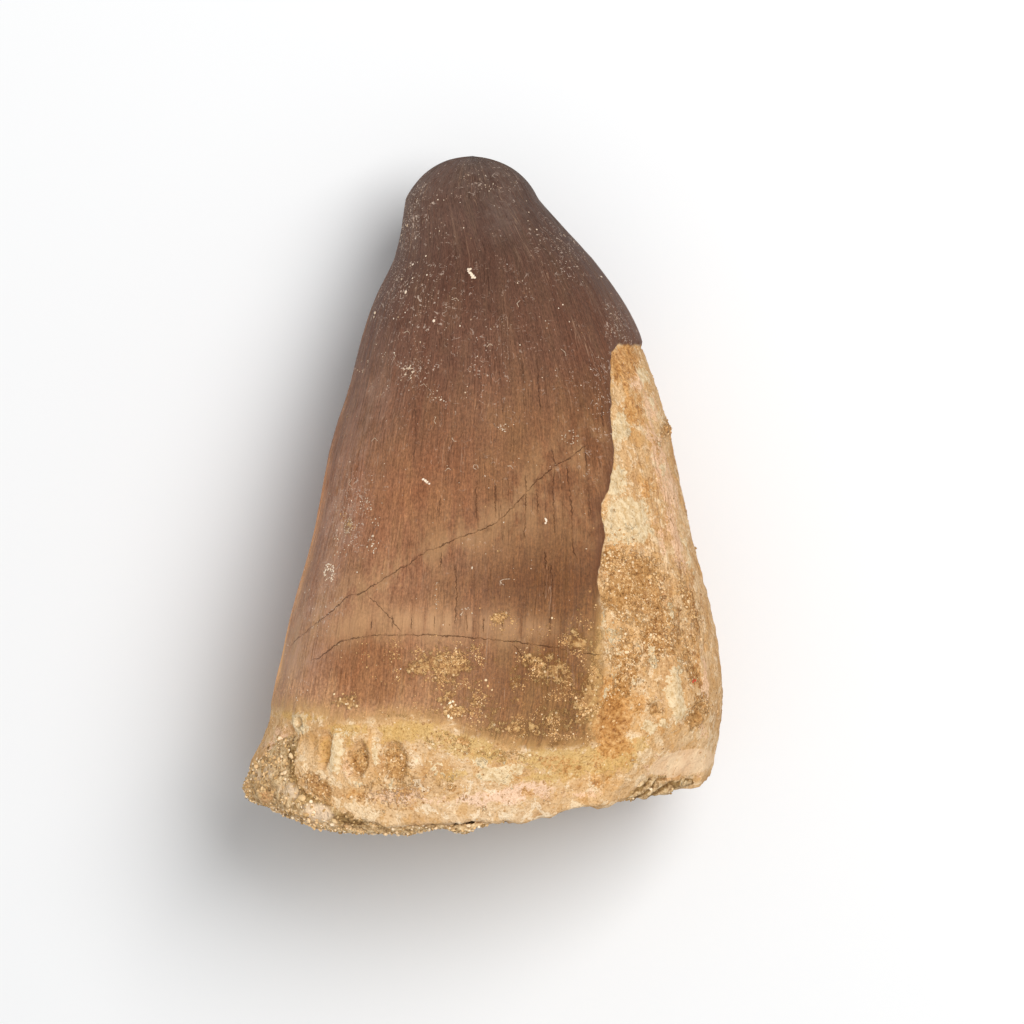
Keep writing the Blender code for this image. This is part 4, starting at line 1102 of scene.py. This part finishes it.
class Shader:
    """A node material, built up by calls that return sockets."""

    def __init__(self, name, roughness, specular):
        self.material = bpy.data.materials.new(name)
        self.material.use_nodes = True
        self.tree = self.material.node_tree
        self.surface = self.tree.nodes["Principled BSDF"].inputs
        self.surface["Roughness"].default_value = roughness
        self.surface["Specular IOR Level"].default_value = specular

    def feed(self, socket, value):
        if isinstance(value, bpy.types.NodeSocket):
            self.tree.links.new(value, socket)
        elif socket.type == "RGBA":
            socket.default_value = (*value, 1.0)
        else:
            socket.default_value = value

    def node(self, kind, inputs, output=0, **settings):
        """Adds a node and feeds its inputs, which go by name or number; returns one of its outputs."""
        node = self.tree.nodes.new("ShaderNode" + kind)
        for key, value in settings.items():
            setattr(node, key, value)
        for key, value in inputs.items():
            self.feed(node.inputs[key], value)
        return node.outputs[output]

    def attribute(self, name, output="Vector"):
        return self.node("Attribute", {}, output, attribute_name=name)

    def split(self, vector, kind="SeparateXYZ"):
        return self.node(kind, {0: vector}).node.outputs

    def masks(self, name):
        return self.split(self.attribute(name))

    def place(self):
        """The point on the object, in metres."""
        return self.node("TexCoord", {}, "Object")

    def scaled(self, vector, scale):
        return self.node("VectorMath", {0: vector, 1: scale}, operation="MULTIPLY")

    def noise(self, vector, scale, detail=3.0, roughness=0.55, distortion=0.0):
        return self.node("TexNoise", {"Vector": vector, "Scale": scale, "Detail": detail,
                                      "Roughness": roughness, "Distortion": distortion}, "Fac")

    def math(self, operation, a, b=0.0):
        return self.node("Math", {0: a, 1: b}, operation=operation)

    def add(self, *values):
        return reduce(lambda total, value: self.math("ADD", total, value), values)

    def times(self, *values):
        return reduce(lambda total, value: self.math("MULTIPLY", total, value), values)

    def centred(self, value):
        return self.math("SUBTRACT", value, 0.5)

    def rest(self, share):
        return self.math("SUBTRACT", 1.0, share)

    def line(self, value, width, core):
        """1 where value is nearly 0, and 0 where it is past width either way."""
        return self.step(self.math("ABSOLUTE", value), width, core)

    def step(self, value, low, high):
        """0 to 1 as the value goes from low to high, smoothly; falling where low > high."""
        ends = (low, high, 0.0, 1.0) if low < high else (high, low, 1.0, 0.0)
        inputs = dict(zip(("From Min", "From Max", "To Min", "To Max"), ends))
        return self.node("MapRange", {"Value": value, **inputs}, interpolation_type="SMOOTHSTEP")

    def mix(self, share, low, high, kind="MIX"):
        return self.node("Mix", {"Factor": share, 6: low, 7: high}, 2, data_type="RGBA", blend_type=kind)

    def lit(self, colour, share, strength, gain):
        """The colour times `gain` where share is 1."""
        return self.mix(self.times(share, strength), colour, gain, "MULTIPLY")

    def lights(self, colour, rows):
        """lit for each row: a value, from where to where it counts, strength and gain."""
        for value, low, high, strength, gain in rows:
            colour = self.lit(colour, self.step(value, low, high), strength, gain)
        return colour

    def tints(self, colour, rows):
        """Mixes in each row's colour: a value, from where to where it counts, strength and colour."""
        for value, low, high, strength, tint in rows:
            tint = srgb(*tint) if isinstance(tint, tuple) else tint
            colour = self.mix(self.times(self.step(value, low, high), strength), colour, tint)
        return colour

    def ramp(self, value, stops):
        """Colour stops: position, red, green and blue, 0-255."""
        output = self.node("ValToRGB", {"Fac": value}, "Color")
        elements = output.node.color_ramp.elements
        elements[0].position, elements[1].position = stops[0][0], stops[-1][0]
        elements[0].color, elements[1].color = ((*srgb(*stops[k][1:]), 1.0) for k in (0, -1))
        for position, *screen in stops[1:-1]:
            elements.new(position).color = (*srgb(*screen), 1.0)
        return output

    def sand(self, colour, place, scale, density, stops, strength):
        """Scatters flat specks over the colour, one to a cell where the cell's chance is below density."""
        distance = self.node("TexVoronoi", {"Vector": place, "Scale": scale}, "Distance")
        chance, hue, _ = self.split(distance.node.outputs["Color"], "SeparateColor")
        present = self.step(self.math("SUBTRACT", density, chance), 0.0, 0.02)
        shape = self.step(distance, 0.52, 0.30)
        return self.mix(self.times(present, shape, strength), colour, self.ramp(hue, stops))

    def finish(self, colour, height, roughness=None):
        """Height is in mm."""
        self.feed(self.surface["Base Color"], colour)
        if roughness is not None:
            self.feed(self.surface["Roughness"], roughness)
        bump = self.node("Bump", {"Strength": 1.0, "Distance": MM, "Height": height})
        self.feed(self.surface["Normal"], bump)
        return self.material


# Colour ramps: position, then 0-255 screen values.
BONE_SAND = [(0.0, 148, 104, 60), (0.35, 184, 136, 84), (0.7, 216, 172, 118), (1.0, 246, 222, 186)]
CROWN_SAND_COLOURS = [(0.0, 110, 74, 42), (0.3, 176, 130, 74), (0.7, 206, 162, 104), (1.0, 236, 206, 166)]
DUST_COLOURS = [(0.0, 150, 120, 100), (0.6, 190, 160, 136), (1.0, 232, 214, 196)]
# The enamel's, by share of the tooth's length, on its left-hand and right-hand sides.
ENAMEL_LEFT = [(0.14, 186, 143, 107), (0.22, 171, 127, 93), (0.38, 147, 104, 76), (0.50, 141, 94, 64),
               (0.60, 124, 85, 62), (0.70, 109, 76, 60), (0.80, 96, 66, 53), (0.92, 93, 68, 57),
               (1.00, 93, 69, 59)]
ENAMEL_RIGHT = [(0.14, 137, 96, 57), (0.22, 128, 87, 48), (0.38, 106, 67, 37), (0.50, 122, 82, 53),
                (0.60, 123, 84, 56), (0.70, 105, 71, 53), (0.80, 92, 63, 49), (0.92, 82, 59, 49),
                (1.00, 85, 63, 53)]
CRACK_WIDTHS = (0.026, 0.028, 0.018)  # mm, of the three lines in the "crack" attribute


def tooth_textures(s):
    """The masks and noises that the tooth's colours share. Scales are per mm along `flow` and per metre
    elsewhere; streaks are noise drawn out along the crown."""
    t = SimpleNamespace(place=s.place(), flow=s.attribute("flow"), edge=s.attribute("enamel", "Fac"))
    t.across, _, t.along = s.split(t.flow)
    t.cream, t.ochre, t.pink = s.masks("stain")
    t.sandy, t.yellow, t.crown_sand = s.masks("dirt")
    t.band, t.brown, t.grey = s.masks("tone")
    t.pits, t.halo, t.keel = s.masks("marks")
    t.dust, t.mauve, t.facet = s.masks("film")
    t.drawn = lambda length, *noise_settings: s.noise(s.scaled(t.flow, (1, 1, length)), *noise_settings)
    t.streaks = t.drawn(0.05, 2.2, 4.0, 0.6)
    t.fine_streaks = t.drawn(0.09, 8.0, 3.0, 0.65)
    t.clouds = s.noise(t.place, 130, 4.0, 0.6)
    t.specks = s.noise(t.place, 3000, 3.0, 0.7)
    t.grit = s.noise(t.place, 6500, 2.0, 0.6)
    t.patch = s.centred(s.noise(t.place, 750, 5.0, 0.68))
    t.fine_patch = s.centred(s.noise(t.place, 2200, 4.0, 0.68, 0.6))
    t.micro = s.centred(t.drawn(0.7, 7.0, 3.0, 0.75))
    t.ragged = s.add(s.times(t.patch, 1.9), s.times(t.fine_patch, 1.6), s.times(t.micro, 0.9))
    t.film = s.step(s.add(t.crown_sand, t.ragged), 0.48, 0.82)
    t.stuck = s.step(s.add(t.sandy, t.ragged), 0.36, 0.62)
    return t


def enamel_colour(s, t):
    """Dark at the tip, warm brown below, streaked along its length."""
    middle_streaks = t.drawn(0.085, 4.4, 3.0, 0.6)
    hair = t.drawn(0.08, 13.0, 2.0, 0.6)
    mottle = t.drawn(0.40, 0.55, 5.0, 0.62, 0.4)
    gathered = s.times(s.add(0.35, s.step(t.drawn(0.35, 0.9, 2.0), 0.42, 0.62)), 0.80)
    level = s.add(s.math("DIVIDE", t.along, TIP), s.times(s.centred(t.clouds), 0.10))
    side = s.step(s.add(t.across, s.times(s.centred(t.clouds), 5.0)), -9.0, 3.5)
    colour = s.mix(side, s.ramp(level, ENAMEL_LEFT), s.ramp(level, ENAMEL_RIGHT))
    colour = s.lights(colour, [
        (t.streaks, 0.42, 0.72, 0.45, (1.22, 1.20, 1.18)),
        (t.streaks, 0.46, 0.26, 0.50, (0.80, 0.78, 0.77)),
        (t.fine_streaks, 0.54, 0.70, gathered, (1.30, 1.27, 1.22)),
        (t.fine_streaks, 0.46, 0.30, gathered, (0.70, 0.67, 0.64)),
        (hair, 0.53, 0.66, 0.80, (1.24, 1.22, 1.20)),
        (hair, 0.47, 0.34, 0.80, (0.76, 0.73, 0.70)),
        (middle_streaks, 0.53, 0.68, 0.65, (1.18, 1.20, 1.18)),
        (middle_streaks, 0.46, 0.32, 0.70, (0.80, 0.77, 0.73)),
        (mottle, 0.47, 0.62, 0.85, (1.07, 1.13, 1.07)),
        (mottle, 0.50, 0.36, 0.85, (0.93, 0.86, 0.83)),
        (t.clouds, 0.52, 0.68, 0.6, (1.16, 1.16, 1.18)),
        (t.clouds, 0.47, 0.32, 0.6, (0.86, 0.84, 0.82)),
        (t.patch, 0.02, 0.16, 0.5, (1.14, 1.15, 1.16)),
        (t.patch, -0.02, -0.16, 0.5, (0.87, 0.86, 0.85)),
        (t.micro, 0.01, 0.12, 0.8, (1.34, 1.32, 1.28)),
        (t.micro, -0.01, -0.12, 0.8, (0.70, 0.68, 0.66)),
    ])
    colour = s.tints(colour, [(t.streaks, 0.22, 0.62, s.times(t.band, 0.85), (184, 142, 102))])
    browned = (s.add(t.streaks, t.patch), 0.15, 0.60, s.times(t.brown, 0.95), (0.70, 0.60, 0.50))
    colour = s.lights(colour, [browned])
    bleached = s.add(t.patch, s.times(s.centred(mottle), 1.2))
    colour = s.tints(colour, [
        (s.add(t.clouds, t.fine_patch), 0.35, 0.75, s.times(t.grey, 0.6), (124, 106, 96)),
        (bleached, -0.16, 0.16, s.times(t.halo, 0.50), (172, 132, 92)),
        (s.add(t.patch, t.fine_streaks), 0.30, 0.70, s.times(t.mauve, 0.60), (186, 148, 126)),
    ])
    # the band on the steep left flank, painted about twice as bright and golden
    colour = s.lit(colour, t.keel, 0.9, (2.0, 1.90, 1.40))
    colour = s.mix(s.times(t.film, 0.72), colour, s.ramp(t.specks, [
        (0.36, 134, 90, 48), (0.50, 176, 132, 80), (0.62, 208, 170, 114)]))
    scratch = s.line(s.centred(t.drawn(0.07, 2.6, 1.5, 0.5)), 0.012, 0.002)
    return s.tints(colour, [(t.drawn(0.30, 0.8, 1.0), 0.54, 0.64, s.times(scratch, 0.40), (178, 142, 114))])


def bone_colour(s, t):
    """Bare dentine and root bone: tan, with ochre, pink, yellow, sandy and cream patches."""
    veins = s.noise(t.place, 900, 4.0, 0.66, 0.8)
    ochre = s.ramp(t.specks, [(0.34, 154, 98, 46), (0.48, 190, 132, 70), (0.64, 222, 172, 112)])
    colour = s.ramp(s.noise(t.place, 420, 4.0, 0.6), [
        (0.30, 192, 146, 98), (0.45, 210, 168, 118), (0.58, 218, 180, 134), (0.72, 230, 198, 154)])
    colour = s.tints(colour, [
        (veins, 0.54, 0.58, 0.60, (202, 152, 92)),
        (veins, 0.44, 0.41, 0.60, (238, 212, 174)),
        (s.add(t.yellow, t.ragged), 0.42, 0.66, 0.75, (204, 163, 96)),
        (s.add(t.pink, t.ragged), 0.42, 0.62, 0.75, (236, 194, 158)),
        (s.add(t.ochre, t.ragged), 0.36, 0.54, 0.85, ochre),
    ])
    colour = s.lit(colour, s.step(t.ochre, 1.0, 1.35), 0.9, (0.80, 0.73, 0.61))
    rosy = s.times(s.step(t.along, 9.0, 6.0), s.step(t.across, -8.0, -3.0), s.step(t.across, 7.5, 4.5))
    colour = s.lit(colour, rosy, 1.0, (0.96, 1.01, 1.11))
    colour = s.mix(s.times(t.stuck, 0.85), colour, s.ramp(t.specks, [
        (0.30, 96, 64, 32), (0.43, 160, 110, 58), (0.57, 192, 143, 86), (0.70, 238, 206, 160)]))
    # pit floors: sandy brown, and partly painted shade of the hollows
    colour = s.mix(s.times(t.pits, 0.75), colour, s.ramp(t.specks, [
        (0.32, 140, 96, 52), (0.50, 192, 144, 86), (0.66, 222, 182, 126)]))
    fibres = t.drawn(0.09, 6.0, 3.0, 0.6)
    fibrous = s.times(s.step(t.across, 7.5, 10.0), s.step(t.along, 9.0, 13.0), s.step(t.along, 30.0, 22.0))
    fibrous = s.times(fibrous, 0.8)
    crazed = s.times(s.line(s.centred(s.noise(t.place, 700, 3.0, 0.6, 1.2)), 0.012, 0.003), 0.75)
    colour = s.lights(colour, [
        (fibres, 0.48, 0.38, fibrous, (0.72, 0.60, 0.52)),
        (fibres, 0.54, 0.64, fibrous, (1.16, 1.14, 1.16)),
        (t.specks, 0.44, 0.30, 0.75, (0.66, 0.58, 0.48)),
        (t.grit, 0.55, 0.66, 0.85, (1.18, 1.20, 1.24)),
        (t.grit, 0.44, 0.33, 0.90, (0.74, 0.67, 0.58)),
        (t.specks, 0.40, 0.55, crazed, (0.70, 0.58, 0.46)),
    ])
    paleness = s.add(t.cream, s.times(t.ragged, 0.9))
    cream = s.step(paleness, 0.42, 0.49)
    fringe = s.times(s.step(paleness, 0.26, 0.42), s.rest(cream), 0.55)
    colour = s.tints(colour, [(t.fine_patch, -0.12, 0.06, fringe, (190, 134, 70))])
    colour = s.mix(s.times(cream, 0.90), colour, s.ramp(t.specks, [
        (0.34, 196, 162, 114), (0.46, 214, 185, 142), (0.62, 234, 211, 172)]))
    # the smooth worn facet at the lower right: paler for its wear, and partly painted light where it turns to
    # the right
    worn = s.mix(s.step(t.patch, -0.10, 0.12), srgb(232, 192, 150), srgb(244, 212, 170))
    colour = s.tints(colour, [(s.add(t.facet, s.times(t.ragged, 0.5)), 0.35, 0.60, 0.80, worn)])
    density = s.times(s.add(s.times(t.sandy, 0.34), 0.02), s.rest(s.times(cream, 0.9)))
    colour = s.sand(colour, t.place, 4300, density, BONE_SAND, 0.80)
    return s.sand(colour, t.place, 7600, s.add(0.08, s.times(t.sandy, 0.14)), BONE_SAND, 0.65)


def crack_lines(s, t, enamel_share):
    """Cracks, and fine natural lines along the crown."""
    wander = s.times(s.centred(s.noise(t.place, 2600, 4.0, 0.7)), 0.44)
    dark = 0.0
    for distance, strength, width in zip(s.masks("crack"), s.masks("crack_strength"), CRACK_WIDTHS):
        line = s.line(s.add(distance, wander), width * 1.7, width * 0.2)
        line = s.times(line, s.step(strength, 0.05, 0.9), s.math("MINIMUM", strength, 1.0))
        dark = s.math("MAXIMUM", dark, line)
    broken = s.step(s.noise(t.place, 1000, 2.0), 0.40, 0.56)
    fine = s.line(s.centred(t.drawn(0.045, 2.1, 1.0, 0.5)), 0.0042, 0.0008)
    fine = s.times(fine, s.step(t.drawn(0.25, 0.55, 1.0), 0.53, 0.65), enamel_share, 0.55)
    return s.math("MAXIMUM", s.times(dark, s.add(0.42, s.times(broken, 0.58))), fine)


def sprinkled(s, t, colour):
    """Sand and pale dust on the enamel."""
    density = s.times(s.step(s.add(t.crown_sand, s.times(t.ragged, 0.9)), 0.25, 1.0), 0.55)
    # dust specks, and on the tip's knob partly a painted sheen
    dusty = s.step(s.add(t.dust, s.times(t.patch, 1.6)), 0.15, 0.95)
    colour = s.sand(colour, t.place, 5200, density, CROWN_SAND_COLOURS, 0.75)
    colour = s.sand(colour, t.place, 9500, s.add(s.times(dusty, 0.32), 0.006), DUST_COLOURS, 0.60)
    colour = s.sand(colour, t.place, 5200, s.add(s.times(dusty, 0.05), 0.001), DUST_COLOURS, 0.70)
    curl = s.line(s.centred(s.noise(t.place, 1300, 1.0, 0.5, 1.6)), 0.030, 0.010)
    curl = s.times(curl, s.step(s.noise(t.place, 2600, 1.0), 0.55, 0.60), 0.60)
    return s.tints(colour, [(s.add(t.dust, t.patch), 0.05, 0.5, curl, (200, 178, 160))])


def tooth_material():
    s = Shader("fossil_enamel_and_dentine", 0.5, 0.16)
    t = tooth_textures(s)
    # the enamel ends in a dark soft line beside the flaked strip, painted shade where its edge rounds down,
    # and fades to olive at its foot
    near_foot = s.step(t.along, 17.5, 13.0)
    beside = s.rest(near_foot)
    ragged_edge = s.times(t.patch, s.add(0.3, s.times(near_foot, 1.3)))
    ragged_edge = s.add(t.edge, ragged_edge, s.times(t.fine_patch, near_foot, 0.9))
    enamel_share = s.add(s.times(s.step(ragged_edge, -0.10, 0.08), beside),
                         s.times(s.step(ragged_edge, -0.35, 0.45), near_foot))
    olive = s.times(near_foot, s.step(t.streaks, 0.2, 0.6), 0.65)
    enamel = s.tints(enamel_colour(s, t), [
        (t.edge, 1.3, 0.0, olive, (190, 148, 92)),
        (t.edge, 1.15, 0.10, s.times(beside, 0.55), (98, 62, 42)),
    ])
    lines = crack_lines(s, t, enamel_share)
    colour = s.mix(enamel_share, bone_colour(s, t), enamel)
    colour = s.mix(s.times(lines, 0.72), colour, srgb(84, 50, 32))
    colour = s.mix(enamel_share, colour, sprinkled(s, t, colour))
    smooth = s.add(s.times(t.fine_streaks, 0.035), s.times(t.streaks, 0.02), s.times(t.film, t.specks, 0.10))
    rough = s.add(s.times(t.specks, 0.13), s.times(t.grit, 0.07), s.times(t.stuck, t.specks, 0.10))
    height = s.add(s.times(smooth, enamel_share), s.times(rough, s.rest(enamel_share)), s.times(lines, -0.05))
    gloss = s.add(s.times(enamel_share, -0.30), 0.85, s.times(s.centred(t.clouds), 0.2))
    return s.finish(colour, height, gloss)


def matrix_material():
    s = Shader("sandy_matrix", 0.9, 0.3)
    place = s.place()
    specks = s.noise(place, 3000, 3.0, 0.7)
    clouds = s.noise(place, 230, 3.0, 0.6)
    # dark: olive patches, and painted shade along the crust's inner edge and in the notch's ripple troughs
    dark, pale, orange = (s.add(mask, s.centred(s.noise(place, 600, 4.0, 0.6))) for mask in s.masks("stain"))
    colour = s.ramp(specks, [(0.28, 108, 80, 46), (0.42, 182, 145, 100), (0.56, 218, 186, 140),
                             (0.72, 240, 214, 174)])
    olive = s.mix(1.0, colour, srgb(172, 154, 112), "MULTIPLY")
    colour = s.tints(colour, [
        (dark, 0.25, 0.7, 0.85, olive),
        (pale, 0.25, 0.7, 0.7, (236, 208, 178)),
        (orange, 0.25, 0.8, 0.6, (222, 164, 106)),
    ])
    colour = s.lights(colour, [
        (clouds, 0.50, 0.68, 0.6, (1.12, 1.10, 1.05)),
        (clouds, 0.50, 0.32, 0.5, (0.80, 0.75, 0.66)),
    ])
    return s.finish(colour, s.add(s.times(specks, 0.25), s.times(s.noise(place, 5200, 2.0), 0.10)))


def grain_material(name, stops):
    s = Shader(name, 0.8, 0.2)
    lightness, hue, redness = s.masks("shade")
    colour = s.ramp(lightness, stops)
    colour = s.mix(s.times(hue, 0.35), colour, s.mix(1.0, colour, srgb(250, 220, 176), "MULTIPLY"))
    mottle = s.noise(s.place(), 9000, 2.0)
    colour = s.tints(colour, [
        (mottle, 0.35, 0.65, 0.25, (230, 190, 140)),
        (redness, 1.2, 1.8, 1.0, (196, 76, 52)),
    ])
    return s.finish(colour, s.times(mottle, 0.02))


# ---- Floor, light and camera ----------------------------------------------------------------------------
WORLD_LIGHT = 0.47
BROAD_LIGHT = ((0.03, 0.02, 0.40), 0.26, 1.6)  # place and width in metres, power in watts
KEY_LIGHT = ((0.19, 0.135, 0.40), 0.30, 1.76)
AIM = (0, 0, 0.008)  # where both lights point
FLOOR = 4.0  # metres across
FLOOR_LEVEL = -0.00002  # metres, just under the tooth


def make_floor():
    bpy.ops.mesh.primitive_plane_add(size=FLOOR, location=(0, 0, FLOOR_LEVEL))
    floor = bpy.context.object
    floor.name = "floor"
    paint = Shader("white_floor", 1.0, 0.0)
    paint.feed(paint.surface["Base Color"], (0.92, 0.92, 0.92))
    floor.data.materials.append(paint.material)
    return floor


def make_light(name, place, size, power, lit):
    """A square soft light, aimed at the tooth, that lights only the objects of the list `lit`."""
    data = bpy.data.lights.new(name, "AREA")
    data.size = size
    data.energy = power
    lamp = bpy.data.objects.new(name, data)
    lamp.location = place
    lamp.rotation_euler = (Vector(AIM) - lamp.location).to_track_quat("-Z", "Y").to_euler()
    lamp.light_linking.receiver_collection = bpy.data.collections.new("lit_by_" + name)
    for obj in lit:
        lamp.light_linking.receiver_collection.objects.link(obj)
    bpy.context.scene.collection.objects.link(lamp)


def make_studio(floor):
    """White surroundings, a broad light over the tooth, and one from the upper right for its shadow."""
    world = bpy.data.worlds.new("studio")
    world.use_nodes = True
    background = world.node_tree.nodes["Background"].inputs
    background["Color"].default_value = (0.975, 0.99, 1, 1)
    background["Strength"].default_value = WORLD_LIGHT
    bpy.context.scene.world = world
    tooth = [obj for obj in bpy.context.scene.objects if obj.type == "MESH" and obj != floor]
    make_light("broad", *BROAD_LIGHT, tooth)
    make_light("key", *KEY_LIGHT, [floor])
    bpy.context.scene.view_settings.view_transform = "Standard"


def make_camera():
    data = bpy.data.cameras.new("camera")
    data.lens = LENS
    data.sensor_width = SENSOR
    data.clip_start, data.clip_end = 0.01, 10.0
    camera = bpy.data.objects.new("camera", data)
    camera.location = (MIDDLE[0] * MM, MIDDLE[1] * MM, EYE_LEVEL * MM)
    bpy.context.scene.collection.objects.link(camera)
    bpy.context.scene.camera = camera


def main():
    grid, outer = make_tooth(tooth_material())
    matrix_points, matrix_triangles = make_matrix(grid, matrix_material())
    matrix_sand = grain_material("matrix_sand_grains", [
        (0.0, 100, 76, 44), (0.3, 180, 146, 96), (0.6, 226, 192, 142), (1.0, 253, 238, 212)])
    sand = grain_material("sand_grains", [
        (0.0, 120, 82, 44), (0.3, 180, 134, 82), (0.6, 216, 176, 120), (1.0, 250, 234, 204)])
    dust = grain_material("dust_specks", [(0.0, 170, 150, 130), (1.0, 236, 222, 204)])
    make_grains(grid, outer, matrix_points, matrix_triangles, matrix_sand, sand, dust)
    make_studio(make_floor())
    make_camera()


main()
